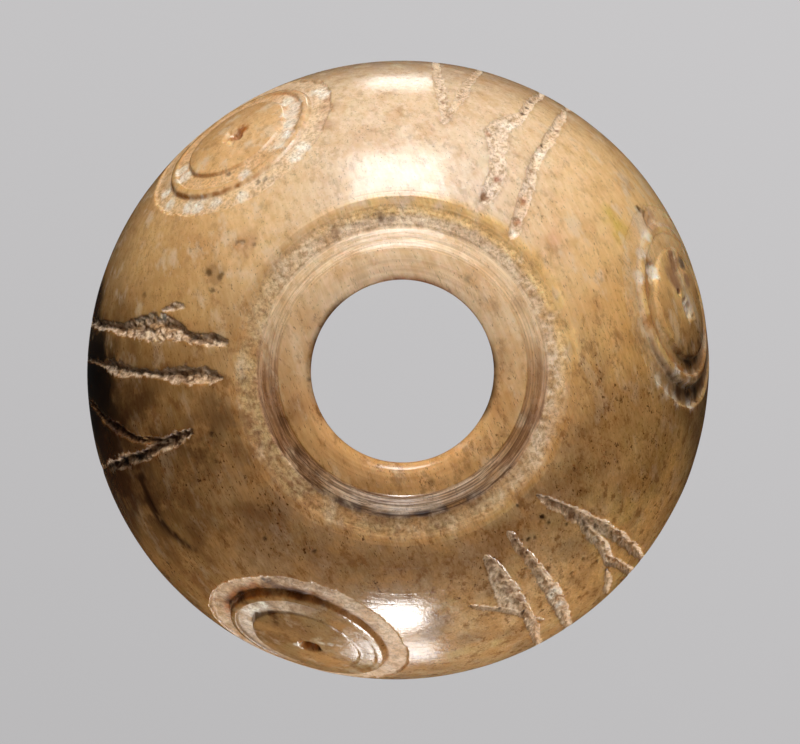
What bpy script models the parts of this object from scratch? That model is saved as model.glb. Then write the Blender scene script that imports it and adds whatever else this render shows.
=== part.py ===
"""Bone spindle whorl: a domed ring with a turned lip round its bore, and carved marks.

Units are metres and +Z is up. The flat base lies on z = 0 and the bore's axis is the Z axis.
Places on the dome are given as an azimuth (degrees from +X towards +Y) and a rise
(the angle above the horizontal of the dome's surface normal, also in degrees).
"""

import math

import bmesh
import bpy
from mathutils import Vector

MM = 0.001

# The dome: a circular arc swept round the bore's axis.
OUTER_RADIUS = 14.0 * MM
DOME_ARC_RADIUS = 10.84 * MM
EQUATOR_HEIGHT = 1.8 * MM
SHOULDER_RISE = 66.4
DOME_STEPS = 14

# The rounded lower edge and the flat base.
BASE_RADIUS = 13.0 * MM
LOWER_EDGE_STEPS = 4

# The bore: a little wider at the base, with a neck just under the lip.
BORE_BASE_RADIUS = 4.20 * MM
BORE_EDGE_BREAK = 0.12 * MM
BORE_NECK_RADIUS = 3.91 * MM
BORE_NECK_HEIGHT = 11.92 * MM

# The lip round the bore's mouth: it rolls out of the bore to a crest and falls gently outwards.
LIP_CREST_RADIUS = 4.65 * MM
LIP_CREST_HEIGHT = 12.42 * MM
LIP_ROLL_STEPS = 3
LIP_MIDDLE_RADIUS = 5.05 * MM
LIP_MIDDLE_HEIGHT = 12.37 * MM
LIP_EDGE_RADIUS = 5.38 * MM
LIP_EDGE_HEIGHT = 12.27 * MM

# The turned collar below the lip's edge, and the flat ledge between it and the dome.
COLLAR_WAIST_RADIUS = 5.70 * MM
COLLAR_WAIST_HEIGHT = 12.06 * MM
COLLAR_FOOT_RADIUS = 6.24 * MM
COLLAR_FOOT_HEIGHT = 11.73 * MM
LEDGE_OUTER_RADIUS = 7.15 * MM
LEDGE_OUTER_HEIGHT = 11.725 * MM

# The worn outline: slightly oval, and a little off the bore's axis.
OVALITY = 0.007
OVAL_AZIMUTH = 36.0
OUTLINE_SHIFT = Vector((-0.19 * MM, 0.06 * MM, 0.0))
ROUND_WITHIN = 7.4 * MM

SEGMENTS = 96

# Ring-and-dot marks, cut by a centre bit held square to the dome. Each is (azimuth, rise,
# the dot's offsets across and upwards, the dot's depth), with lengths in millimetres.
MARKS = (
    (13.4, 24.6, -0.2, -0.1, 0.25),
    (124.9, 26.9, 0.0, 0.1, 0.30),
    (251.0, 26.3, 0.2, 0.0, 0.75),
)
MARK_SEGMENTS = 44

# The bit's two teeth: (foot of the inner wall, outer wall, floor there and there), measured
# from the point where the bit's axis meets the dome.
OUTER_TOOTH = (3.70 * MM, 4.55 * MM, -0.85 * MM, -0.95 * MM)
INNER_TOOTH = (2.56 * MM, 3.22 * MM, -0.54 * MM, -0.54 * MM)
INNER_WALL_LEAN = 0.5
CUTTER_TOP = 0.6 * MM
DOT_RADIUS = 0.5 * MM
DOT_TAPER = 0.8
DOT_SEGMENTS = 16

# Chipped V-shaped strokes in three groups. Each is its depth, then its stations from the
# upper end down towards the base: (azimuth, rise, width). Depths and widths are in millimetres.
UPPER_RIGHT_STROKES = (
    (0.18, ((51.2, 65.5, 0.45), (53.9, 58.5, 0.60), (55.7, 50.3, 0.62), (57.2, 42.5, 0.60),
            (57.2, 33.0, 0.60), (57.2, 24.0, 0.42), (56.9, 2.0, 0.40))),
    (0.18, ((64.1, 61.8, 0.45), (63.9, 55.5, 0.75), (65.3, 49.0, 0.75), (67.2, 43.0, 1.10),
            (66.0, 36.5, 0.72), (64.2, 30.0, 0.35), (63.9, 21.0, 0.30), (62.6, 2.0, 0.30))),
    (0.08, ((80.2, 44.0, 0.30), (80.0, 36.0, 1.00), (79.6, 28.0, 1.20), (79.0, 2.0, 1.20))),
)
LEFT_STROKES = (
    (0.26, ((170.5, 64.8, 0.40), (170.9, 58.5, 0.45), (170.2, 52.0, 0.75), (169.5, 46.0, 1.20),
            (170.2, 41.0, 1.15), (171.4, 36.0, 0.75), (171.9, 31.0, 0.35), (171.3, 2.0, 0.35))),
    (0.26, ((182.0, 64.5, 0.35), (181.4, 58.0, 0.55), (180.9, 53.5, 0.65), (180.6, 40.0, 0.50),
            (180.0, 33.0, 0.55), (179.1, 28.0, 0.50), (178.6, 21.0, 0.30), (178.1, 2.0, 0.30))),
    (0.28, ((196.2, 53.8, 0.35), (197.0, 47.5, 0.50), (195.4, 40.0, 0.45), (193.2, 33.0, 0.50),
            (190.9, 26.5, 0.45), (187.5, 18.0, 0.45), (184.5, 2.0, 0.40))),
    (0.28, ((197.4, 46.0, 0.35), (198.3, 38.0, 0.50), (198.3, 30.0, 0.55), (199.0, 22.0, 0.40),
            (199.4, 2.0, 0.35))),
)
LOWER_RIGHT_STROKES = (
    (0.26, ((294.2, 57.6, 0.35), (295.2, 51.0, 0.75), (295.6, 45.5, 0.95), (296.6, 39.5, 0.85),
            (297.6, 34.0, 0.45), (298.2, 26.0, 0.40), (297.8, 2.0, 0.35))),
    (0.12, ((286.2, 45.5, 0.18), (290.0, 42.7, 0.25), (293.4, 40.0, 0.35), (297.2, 34.5, 0.30),
            (300.1, 27.1, 0.20))),
    (0.26, ((303.6, 60.8, 0.35), (303.9, 54.0, 0.50), (304.6, 46.0, 0.52), (304.7, 38.0, 0.62),
            (304.4, 29.0, 0.45), (303.9, 18.0, 0.35), (303.4, 2.0, 0.30))),
    (0.24, ((317.4, 63.3, 0.20), (319.4, 57.0, 0.38), (320.6, 49.5, 0.65), (321.9, 43.0, 0.50),
            (322.6, 36.0, 0.42), (322.9, 26.0, 0.35), (322.2, 2.0, 0.35))),
    (0.24, ((320.0, 46.5, 0.20), (319.0, 40.0, 0.42), (318.3, 33.0, 0.30), (318.0, 28.0, 0.30),
            (319.0, 21.0, 0.35), (319.3, 2.0, 0.35))),
    (0.10, ((315.3, 27.0, 0.15), (314.9, 21.5, 0.30), (313.4, 15.0, 0.35), (312.6, 2.0, 0.30))),
)
STROKE_CLEARANCE = 0.5 * MM

SHARP_ANGLE = math.radians(35.0)


def clear_scene():
    """Remove whatever the scene holds."""
    for old in list(bpy.data.objects):
        bpy.data.objects.remove(old, do_unlink=True)


def bone_material():
    """Old polished bone: warm cream-brown with a satin shine."""
    material = bpy.data.materials.new("bone")
    material.use_nodes = True
    shader = material.node_tree.nodes["Principled BSDF"]
    shader.inputs["Base Color"].default_value = (0.52, 0.34, 0.17, 1.0)
    shader.inputs["Roughness"].default_value = 0.32
    shader.inputs["Metallic"].default_value = 0.0
    return material


def off_round(point):
    """Move a point of the turned shape to its place on the worn, slightly oval outline."""
    radius = math.hypot(point.x, point.y)
    share = max(0.0, (radius - ROUND_WITHIN) / (OUTER_RADIUS - ROUND_WITHIN))
    azimuth = math.atan2(point.y, point.x)
    stretch = OVALITY * math.cos(2.0 * (azimuth - math.radians(OVAL_AZIMUTH)))
    flat = Vector((point.x, point.y, 0.0))
    return point + share * (stretch * flat + OUTLINE_SHIFT)


def dome_point(azimuth, rise):
    """The dome's surface at an azimuth and a rise, in degrees."""
    around = math.radians(azimuth)
    up = math.radians(rise)
    radius = OUTER_RADIUS - DOME_ARC_RADIUS * (1.0 - math.cos(up))
    height = EQUATOR_HEIGHT + DOME_ARC_RADIUS * math.sin(up)
    return off_round(Vector((radius * math.cos(around), radius * math.sin(around), height)))


def dome_normal(azimuth, rise):
    """The outward normal of the dome there, from two small steps along its surface."""
    step = 0.05
    along = dome_point(azimuth + step, rise) - dome_point(azimuth - step, rise)
    upward = dome_point(azimuth, rise + step) - dome_point(azimuth, rise - step)
    return along.cross(upward).normalized()


def body_profile():
    """The turned outline as (radius, height) pairs, once round from the bore's lower edge."""
    profile = [(BORE_BASE_RADIUS + BORE_EDGE_BREAK, 0.0), (BASE_RADIUS, 0.0)]
    for step in range(1, LOWER_EDGE_STEPS):
        turn = math.radians(90.0 * step / LOWER_EDGE_STEPS)
        radius = BASE_RADIUS + (OUTER_RADIUS - BASE_RADIUS) * math.sin(turn)
        profile.append((radius, EQUATOR_HEIGHT * (1.0 - math.cos(turn))))
    for step in range(DOME_STEPS + 1):
        rise = math.radians(SHOULDER_RISE * step / DOME_STEPS)
        radius = OUTER_RADIUS - DOME_ARC_RADIUS * (1.0 - math.cos(rise))
        profile.append((radius, EQUATOR_HEIGHT + DOME_ARC_RADIUS * math.sin(rise)))
    profile += [
        (LEDGE_OUTER_RADIUS, LEDGE_OUTER_HEIGHT),
        (COLLAR_FOOT_RADIUS, COLLAR_FOOT_HEIGHT),
        (COLLAR_WAIST_RADIUS, COLLAR_WAIST_HEIGHT),
        (LIP_EDGE_RADIUS, LIP_EDGE_HEIGHT),
        (LIP_MIDDLE_RADIUS, LIP_MIDDLE_HEIGHT),
    ]
    for step in range(LIP_ROLL_STEPS, -1, -1):
        turn = math.radians(90.0 * step / LIP_ROLL_STEPS)
        radius = LIP_CREST_RADIUS - (LIP_CREST_RADIUS - BORE_NECK_RADIUS) * math.cos(turn)
        height = BORE_NECK_HEIGHT + (LIP_CREST_HEIGHT - BORE_NECK_HEIGHT) * math.sin(turn)
        profile.append((radius, height))
    profile.append((BORE_BASE_RADIUS, BORE_EDGE_BREAK))
    return profile


def finished_mesh(name, shape):
    """Turn a closed bmesh into a mesh whose faces point out."""
    bmesh.ops.recalc_face_normals(shape, faces=shape.faces)
    mesh = bpy.data.meshes.new(name)
    shape.to_mesh(mesh)
    shape.free()
    return mesh


def turned_mesh(name, profile, segments):
    """Spin a closed (radius, height) outline round the Z axis into a ring-shaped mesh."""
    shape = bmesh.new()
    points = [shape.verts.new((radius, 0.0, height)) for radius, height in profile]
    edges = [shape.edges.new((points[i - 1], points[i])) for i in range(len(points))]
    bmesh.ops.spin(
        shape, geom=points + edges, cent=(0.0, 0.0, 0.0), axis=(0.0, 0.0, 1.0),
        angle=2.0 * math.pi, steps=segments, use_merge=True)
    return finished_mesh(name, shape)


def add_object(name, mesh):
    """Put a mesh in the scene as an object of the same name."""
    thing = bpy.data.objects.new(name, mesh)
    bpy.context.scene.collection.objects.link(thing)
    return thing


def add_cutter(name, mesh):
    """Put a mesh in the scene as a wire shape that only cuts."""
    cutter = add_object(name, mesh)
    cutter.display_type = "WIRE"
    cutter.hide_render = True
    return cutter


def ring_cutter(name, tooth):
    """The ring that a tooth sweeps: a leaning inner wall, a nearly flat floor, an upright edge."""
    foot, edge, foot_floor, edge_floor = tooth
    top_radius = foot - INNER_WALL_LEAN * (CUTTER_TOP - foot_floor)
    profile = [
        (foot, foot_floor),
        (edge, edge_floor),
        (edge, CUTTER_TOP),
        (top_radius, CUTTER_TOP),
    ]
    return add_cutter(name, turned_mesh(name, profile, MARK_SEGMENTS))


def dot_cutter(name, across, upward, depth):
    """A short drill, its tip slightly narrower than its top."""
    shape = bmesh.new()
    length = depth + CUTTER_TOP
    bmesh.ops.create_cone(
        shape, cap_ends=True, segments=DOT_SEGMENTS, radius1=DOT_TAPER * DOT_RADIUS,
        radius2=DOT_RADIUS, depth=length)
    centre = Vector((across, upward, CUTTER_TOP - 0.5 * length))
    bmesh.ops.translate(shape, verts=shape.verts, vec=centre)
    return add_cutter(name, finished_mesh(name, shape))


def mark_cutters(name, azimuth, rise, dot_across, dot_upward, dot_depth):
    """The cutters of one ring-and-dot mark, standing square on the dome."""
    centre = dome_point(azimuth, rise)
    outward = dome_normal(azimuth, rise)
    across = Vector((0.0, 0.0, 1.0)).cross(outward).normalized()
    upward = outward.cross(across)
    cutters = [
        ring_cutter(f"{name}_outer_ring", OUTER_TOOTH),
        ring_cutter(f"{name}_inner_ring", INNER_TOOTH),
        dot_cutter(f"{name}_dot", dot_across * MM, dot_upward * MM, dot_depth * MM),
    ]
    for cutter in cutters:
        for vertex in cutter.data.vertices:
            x, y, z = vertex.co
            vertex.co = centre + x * across + y * upward + z * outward
    return cutters


def stroke_cutter(name, depth, stations):
    """A long wedge, triangular in section, that follows a path over the dome."""
    shape = bmesh.new()
    sections = []
    centres = [dome_point(azimuth, rise) for azimuth, rise, width in stations]
    for number, (azimuth, rise, width) in enumerate(stations):
        before = centres[max(number - 1, 0)]
        after = centres[min(number + 1, len(centres) - 1)]
        outward = dome_normal(azimuth, rise)
        across = (after - before).cross(outward).normalized()
        end = number in (0, len(stations) - 1)
        cut = (0.5 if end else 1.0) * depth
        half = 0.5 * width * MM * (cut + STROKE_CLEARANCE) / cut
        high = centres[number] + STROKE_CLEARANCE * outward
        section = (high - half * across, high + half * across, centres[number] - cut * outward)
        sections.append([shape.verts.new(point) for point in section])
    for first, second in zip(sections, sections[1:]):
        for side in range(3):
            other = (side + 1) % 3
            shape.faces.new((first[side], first[other], second[other], second[side]))
    shape.faces.new(sections[0])
    shape.faces.new(sections[-1])
    bmesh.ops.triangulate(shape, faces=shape.faces)
    return add_cutter(name, finished_mesh(name, shape))


def make_whorl():
    """The turned ring, with its outline worn off round."""
    whorl = add_object("whorl", turned_mesh("whorl", body_profile(), SEGMENTS))
    for vertex in whorl.data.vertices:
        vertex.co = off_round(vertex.co)
    whorl.data.materials.append(bone_material())
    return whorl


def carve(whorl, cutters):
    """Cut every mark and stroke out of the whorl."""
    for cutter in cutters:
        cut = whorl.modifiers.new(cutter.name, "BOOLEAN")
        cut.operation = "DIFFERENCE"
        cut.solver = "EXACT"
        cut.object = cutter


def main():
    clear_scene()
    whorl = make_whorl()
    cutters = []
    for number, mark in enumerate(MARKS, start=1):
        cutters += mark_cutters(f"mark_{number}", *mark)
    strokes = UPPER_RIGHT_STROKES + LEFT_STROKES + LOWER_RIGHT_STROKES
    for number, (depth, stations) in enumerate(strokes, start=1):
        cutters.append(stroke_cutter(f"stroke_{number}", depth * MM, stations))
    carve(whorl, cutters)
    whorl.data.shade_smooth()
    whorl.data.set_sharp_from_angle(angle=SHARP_ANGLE)


main()
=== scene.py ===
"""The looks of the bone spindle whorl: worn, polished bone with chalky carving.

Lengths are in millimetres until a mesh is made. Places on the dome are given as an azimuth
(degrees from +X towards +Y) and a rise (the angle of the dome's surface normal above the
horizontal, in degrees), as in the CAD source.
"""

import math

import bpy
import numpy as np
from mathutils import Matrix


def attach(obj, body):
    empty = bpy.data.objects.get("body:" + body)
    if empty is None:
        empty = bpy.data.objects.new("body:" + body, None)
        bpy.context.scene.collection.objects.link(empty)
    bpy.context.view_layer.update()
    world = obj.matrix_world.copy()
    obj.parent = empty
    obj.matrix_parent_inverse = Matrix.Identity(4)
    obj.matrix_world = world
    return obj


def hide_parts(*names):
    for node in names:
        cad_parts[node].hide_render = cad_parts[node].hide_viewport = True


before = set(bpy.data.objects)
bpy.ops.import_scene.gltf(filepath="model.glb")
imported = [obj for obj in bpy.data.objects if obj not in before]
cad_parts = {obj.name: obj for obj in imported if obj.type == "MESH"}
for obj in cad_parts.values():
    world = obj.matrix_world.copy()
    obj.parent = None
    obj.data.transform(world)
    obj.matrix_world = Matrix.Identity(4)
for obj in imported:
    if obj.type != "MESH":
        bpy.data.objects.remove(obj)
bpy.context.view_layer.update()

MM = 0.001

# ---------------------------------------------------------------- the turned shape
OUTER_RADIUS = 14.0
DOME_ARC_RADIUS = 10.84
EQUATOR_HEIGHT = 1.8
SHOULDER_RISE = 66.4
BASE_RADIUS = 13.0
BORE_BASE_RADIUS = 4.20
BORE_EDGE_BREAK = 0.12
BORE_NECK = (3.91, 11.92)
LIP_CREST = (4.65, 12.42)
LIP_MIDDLE = (5.05, 12.37)
LIP_EDGE = (5.38, 12.27)
COLLAR_WAIST = (5.70, 12.06)
COLLAR_FOOT = (6.24, 11.73)
LEDGE_OUTER = (7.15, 11.725)
OVALITY = 0.007
OVAL_AZIMUTH = 36.0
OUTLINE_SHIFT = (-0.19, 0.06)
ROUND_WITHIN = 7.4

# Ring-and-dot marks: azimuth and rise of the point where the centre bit met the dome. Then two
# of them by number, how far from its middle a mark reaches, and how low its lowest points lie.
MARKS = ((13.4, 24.6), (124.9, 26.9), (251.0, 26.3))
NORTH_WEST_MARK = 1
SOUTH_MARK = 2
MARK_REACH = 5.2
MARK_LOWEST = -2.5

# The bit's section: radii of the outer ring's floor and its heights there, the ridge's radii,
# the inner ring's radii and its floor's height, and the boss's radius.
OUTER_FLOOR = (3.70, 4.55, -0.85, -0.95)
RIDGE = (3.22, 3.52)
INNER_FLOOR = (2.56, 3.22, -0.54)
BOSS_RADIUS = 2.42

# How deep each mark is cut on its lower and on its upper side, as a share of the full depth,
# and how much of that is worn away on the side of the larger azimuth.
MARK_DEPTHS = ((0.95, 0.75, 0.88), (0.60, 0.34, 0.0), (1.05, 0.95, 0.40))

# Chipped strokes, from the upper end down: the depth, the lean of the lowest line (-1 to 1,
# positive towards the larger azimuth), how chalky and how dirty the stroke is, then stations
# of (azimuth, rise, width).
STROKES = (
    (0.08, 0.15, 0.7, 0.1, (
        (51.2, 66.3, 0.35), (51.2, 65, 0.5), (52.8, 62, 0.45), (54.3, 57, 0.53), (55.3, 52.5, 0.6),
        (56.8, 48, 0.45), (57.1, 38, 0.42), (57, 34, 0.55), (57, 29, 0.45), (57.2, 24, 0.42),
        (57, 2, 0.4))),
    (0.08, 0.15, 0.7, 0.1, (
        (64.3, 62.3, 0.4), (63.8, 58.5, 0.75), (64.1, 53, 0.72), (65.5, 50, 0.65), (66.5, 46, 0.9),
        (68.1, 42, 0.97), (67.8, 40, 0.85), (65.6, 35, 0.78), (64.4, 31.5, 0.4), (63.7, 21, 0.35),
        (62.6, 15, 0.3), (62.6, 2, 0.3))),
    (0.04, 0, 0.45, 0.1, (
        (80, 43.5, 0.25), (80.8, 37, 0.35), (81.4, 31, 0.5), (82.5, 22, 0.35), (83, 12, 0.3),
        (83, 2, 0.3))),
    (0.04, 0, 0.35, 0.1, (
        (79.6, 43, 0.2), (78, 36, 0.35), (77, 31, 0.45), (76.4, 24, 0.4), (75, 14, 0.25),
        (74.7, 2, 0.2))),
    (0.2, -0.15, 0.85, 0.35, (
        (170.4, 64.8, 0.3), (170.6, 62, 0.53), (171.2, 59, 0.48), (171, 55, 0.52), (169.9, 51, 0.95),
        (169.6, 46, 1.2), (170.5, 40, 1.06), (171.2, 36, 0.75), (171.8, 32.5, 0.5), (171.3, 26, 0.36),
        (171.4, 20, 0.42), (171.2, 2, 0.3))),
    (0.19, -0.15, 0.85, 0.35, (
        (182.2, 64.8, 0.15), (181.6, 62, 0.6), (181.2, 56, 0.8), (181, 51.5, 0.62), (180.8, 46, 0.32),
        (180.4, 40, 0.3), (180.1, 37, 0.42), (179.8, 32, 0.7), (179.2, 28, 0.55), (178.9, 24, 0.22),
        (178.2, 16, 0.18), (177.9, 2, 0.15))),
    (0.22, -0.1, 0.6, 0.55, (
        (196.1, 54, 0.35), (196.7, 51, 0.5), (197.1, 47, 0.62), (197.4, 44, 0.45), (198, 40, 0.55),
        (198.5, 37, 0.45), (198.3, 32, 0.7), (198.4, 24, 0.55), (198.6, 2, 0.4))),
    (0.22, 0, 0.05, 0.95, (
        (196.6, 46, 0.3), (195.4, 40, 0.25), (194.8, 37, 0.28), (192.6, 31, 0.5), (191.7, 28.5, 0.55),
        (190.7, 26, 0.35), (189.4, 22, 0.35), (186.8, 16, 0.3), (185.5, 8, 0.25))),
    (0.2, 0.55, 0.95, 0.25, (
        (294.3, 57.8, 0.25), (294.7, 56, 0.48), (295.3, 53, 0.66), (295.2, 50, 0.88),
        (295.4, 46, 1.05), (295.8, 42, 1.1), (296.5, 39, 0.9), (297.4, 36, 0.5), (297.6, 26, 0.45),
        (297.2, 16, 0.35), (297, 2, 0.25))),
    (0.08, 0.3, 0.95, 0.1, (
        (286.6, 45.6, 0.15), (288.8, 43.8, 0.28), (291.2, 42, 0.2), (292.8, 40.7, 0.3),
        (295.3, 37.2, 0.25), (297.3, 34.3, 0.28), (298.6, 30.5, 0.15), (299.8, 27.3, 0.12))),
    (0.22, 0.55, 0.95, 0.25, (
        (303.3, 61, 0.2), (303.5, 59.5, 0.36), (303.9, 54, 0.42), (304.5, 46, 0.5), (304.5, 39, 0.66),
        (304.7, 34, 0.72), (304.2, 26, 0.62), (303.6, 16, 0.45), (303.5, 2, 0.3))),
    (0.2, 0.55, 0.95, 0.25, (
        (317.4, 63.8, 0.15), (318.3, 60, 0.45), (319.6, 56, 0.5), (320.4, 52, 0.7), (321.6, 46, 0.6),
        (322.2, 42, 0.62), (322.8, 34, 0.58), (322.7, 20, 0.48), (322.2, 2, 0.3))),
    (0.2, 0.5, 0.95, 0.2, (
        (320.4, 49.5, 0.45), (319.4, 44, 0.48), (319.2, 37, 0.48), (317.9, 31, 0.5),
        (317.9, 28, 0.45), (318.8, 22, 0.42), (319, 14, 0.36), (319, 2, 0.3))),
    (0.07, 0, 0.7, 0.15, (
        (315.9, 27.3, 0.1), (315.4, 24, 0.33), (315, 21, 0.45), (314.1, 18, 0.5), (313.5, 15, 0.3),
        (313.3, 12, 0.2))),
    (0.08, 0, 0.95, 0.3, (
        (163.3, 51.6, 0.15), (163.8, 50, 0.42), (164.6, 48, 0.3), (165.5, 46.2, 0.15))),
)

# Which way the bone's fibres run, and where the lip's inner edge has stayed square.
GRAIN_AZIMUTH = 112.0
LIP_SQUARE_AZIMUTH = 72.0

# Small dark pits and specks on the dome: azimuth, rise, radius and darkness.
SPECKS = (
    (307, 56.4, 0.14, 0.9), (305.5, 57.5, 0.1, 0.8), (308.7, 58.5, 0.1, 0.8),
    (308.9, 55.5, 0.11, 0.8), (312.2, 57.8, 0.13, 0.9), (313.8, 58.6, 0.2, 1),
    (314.3, 56.2, 0.12, 0.8), (302, 49.3, 0.12, 0.8), (300.8, 47.7, 0.12, 0.8), (307, 45, 0.11, 0.8),
    (310.3, 37.8, 0.12, 0.9), (314.3, 39, 0.12, 0.9), (315.2, 38, 0.1, 0.8), (316, 34, 0.12, 0.9),
    (290.8, 34, 0.1, 0.7), (308.5, 26, 0.12, 0.8), (310.7, 65.5, 0.11, 0.8), (198.7, 59.5, 0.1, 0.7),
    (163.7, 38, 0.2, 0.6), (152.3, 58.3, 0.22, 0.6), (153, 55, 0.2, 0.7), (157, 58, 0.14, 0.7),
    (139.5, 61, 0.14, 0.5), (141, 58, 0.16, 0.6), (142, 57, 0.12, 0.5), (198, 59.6, 0.12, 0.8),
    (206, 58.2, 0.13, 0.8), (231, 55, 0.13, 0.8), (244, 59.6, 0.12, 0.8), (321.3, 43.5, 0.1, 0.8),
    (317.4, 51.9, 0.1, 0.8), (322.5, 36.7, 0.1, 0.8), (316.3, 26.9, 0.12, 0.9),
    (297.3, 34.6, 0.24, 1),
)

# A dark vein in the bone, sharp on its upper side: stations of (azimuth, rise, width).
VEIN = (
    (201.5, 34.5, 0.1), (203, 33.2, 0.34), (205.8, 33.2, 0.42), (209.2, 32.5, 0.46), (213, 32.2, 0.5),
    (215.5, 33.5, 0.42), (219.2, 35.2, 0.28), (222.5, 37.2, 0.12),
)

# Soft patches of colour on the dome: azimuth, rise, reach, colour and strength. The ivory patches to
# the north are partly painted sheen of the main light.
PATCHES = (
    (201, 32, 3, "umber", 0.6), (201, 22, 2.8, "umber", 0.6), (190, 24, 2.6, "soot", 0.85),
    (181, 22, 2.6, "soot", 0.85), (340, 45, 3.4, "brown", 0.15), (210, 24, 3.4, "umber", 0.4),
    (0, 38, 3.2, "brown", 0.3), (181, 12, 3.2, "soot", 0.75), (357, 28, 3, "umber", 0.4),
    (352, 18, 3.2, "umber", 0.5), (2, 8, 3.2, "bruise", 0.8), (344, 13, 2.4, "bruise", 0.2),
    (170, 30, 2.4, "umber", 0.45), (186, 34, 2.6, "umber", 0.55), (178, 18, 3, "soot", 0.9),
    (190, 14, 3.6, "soot", 0.95), (200, 14, 3, "umber", 0.2), (168, 8, 2.2, "soot", 0.75),
    (198, 22, 2.6, "umber", 0.75), (168, 6, 2, "umber", 0.75), (206, 12, 2.6, "umber", 0.6),
    (194, 40, 2.4, "umber", 0.55), (197, 60, 2, "umber", 0.42), (206, 52, 2.6, "umber", 0.35),
    (212, 40, 2.2, "umber", 0.4), (183, 46, 1.6, "umber", 0.35), (222, 62, 1.8, "umber", 0.25),
    (240, 24, 2.2, "brown", 0.3), (350, 50, 2.4, "brown", 0.35), (345, 34, 2.2, "brown", 0.35),
    (2, 20, 2.4, "brown", 0.55), (330, 56, 1.6, "brown", 0.3), (300, 60, 1.6, "brown", 0.3),
    (318, 52, 1.4, "brown", 0.3), (36, 41, 0.8, "yellow", 0.75), (40, 59.6, 0.8, "pink", 0.6),
    (141, 58.5, 0.9, "rust", 0.35), (152.5, 56.5, 0.7, "umber", 0.4), (88, 58, 3.5, "ivory", 0.35),
    (120, 45, 3, "ivory", 0.3), (62, 45, 3, "ivory", 0.3), (262, 36, 3, "honey", 0.45),
    (310, 30, 3, "honey", 0.4), (15, 52, 2.4, "honey", 0.35), (330, 20, 3, "honey", 0.5),
    (150, 45, 3, "tan", 0.45),
)

# Patches inside the strokes: azimuth, rise, reach, colour and strength.
STROKE_PATCHES = (
    (52, 62.5, 0.28, "rust", 0.8), (54.3, 57, 0.28, "rust", 0.8), (56.8, 48, 0.25, "brown", 0.7),
    (57.8, 38.7, 0.13, "soot", 0.95), (56.5, 29.2, 0.22, "brown", 0.8), (57, 42, 0.4, "white", 0.9),
    (51, 65.5, 0.3, "white", 0.8), (64.5, 61.3, 0.34, "brown", 0.85),
    (63.2, 55.5, 0.28, "rust", 0.75), (69.8, 43.5, 0.25, "amber", 0.55),
    (66.3, 37.5, 0.45, "white", 0.95), (66.3, 35.7, 0.15, "umber", 0.8),
    (64.2, 30, 0.17, "umber", 0.85), (64, 26, 0.17, "umber", 0.85), (63.7, 21.5, 0.2, "umber", 0.85),
    (61.9, 16.5, 0.22, "umber", 0.8), (80.8, 36, 0.16, "brown", 0.75), (79, 29.5, 0.16, "brown", 0.7),
    (81.5, 30, 0.16, "brown", 0.75), (170.7, 62, 0.38, "umber", 0.8), (171.3, 56.2, 0.2, "soot", 0.8),
    (168.8, 48.3, 0.2, "slate", 0.6), (167, 46.3, 0.42, "white", 0.95),
    (171.3, 40, 0.4, "umber", 0.8), (173, 34.5, 0.22, "soot", 0.8), (181.2, 54, 0.42, "umber", 0.8),
    (180, 31, 0.32, "soot", 0.6), (198.3, 34.5, 0.36, "soot", 0.95), (198.2, 27.5, 0.4, "soot", 0.95),
    (198.5, 31, 0.12, "white", 0.7), (197.4, 44, 0.5, "umber", 0.65),
    (198.2, 39, 0.45, "umber", 0.65), (297.6, 40.5, 0.38, "brown", 0.75),
    (292.8, 40.7, 0.16, "soot", 0.85), (295.2, 50, 0.28, "brown", 0.7),
    (296.2, 45, 0.35, "brown", 0.7), (303.5, 58, 0.3, "brown", 0.65), (303.9, 54, 0.3, "brown", 0.75),
    (304.3, 49, 0.28, "umber", 0.6), (304.5, 44, 0.35, "brown", 0.7),
    (304.7, 34.5, 0.5, "white", 0.75), (304.3, 28, 0.4, "white", 0.75),
    (319.3, 52, 0.4, "brown", 0.85), (318.6, 58, 0.3, "brown", 0.7), (320.6, 47, 0.3, "umber", 0.7),
    (321.3, 43.5, 0.16, "soot", 0.85), (322.5, 36.7, 0.16, "soot", 0.85),
    (322.9, 30, 0.4, "white", 0.75), (319.2, 40, 0.35, "white", 0.65),
    (316.3, 26.9, 0.13, "soot", 0.9), (319.4, 45, 0.2, "umber", 0.7),
    (294.9, 54.5, 0.2, "brown", 0.6),
)

# Pits in the marks: the mark, places across and up it, reach, depth and raggedness.
PITS = (
    (0, -0.35, -0.15, 0.62, 0.13, 0.35), (0, 0.45, 0.5, 0.2, 0.16, 0.15),
    (0, 1.6, 2.25, 0.55, 0.1, 0.35), (0, 3.9, 0.6, 0.6, 0.1, 0.35), (0, 1.7, -0.3, 0.9, 0.05, 0.4),
    (1, -0.05, 0.2, 0.68, 0.22, 0.45), (2, 0.25, 0.1, 0.58, 0.42, 0.08),
)
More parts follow.
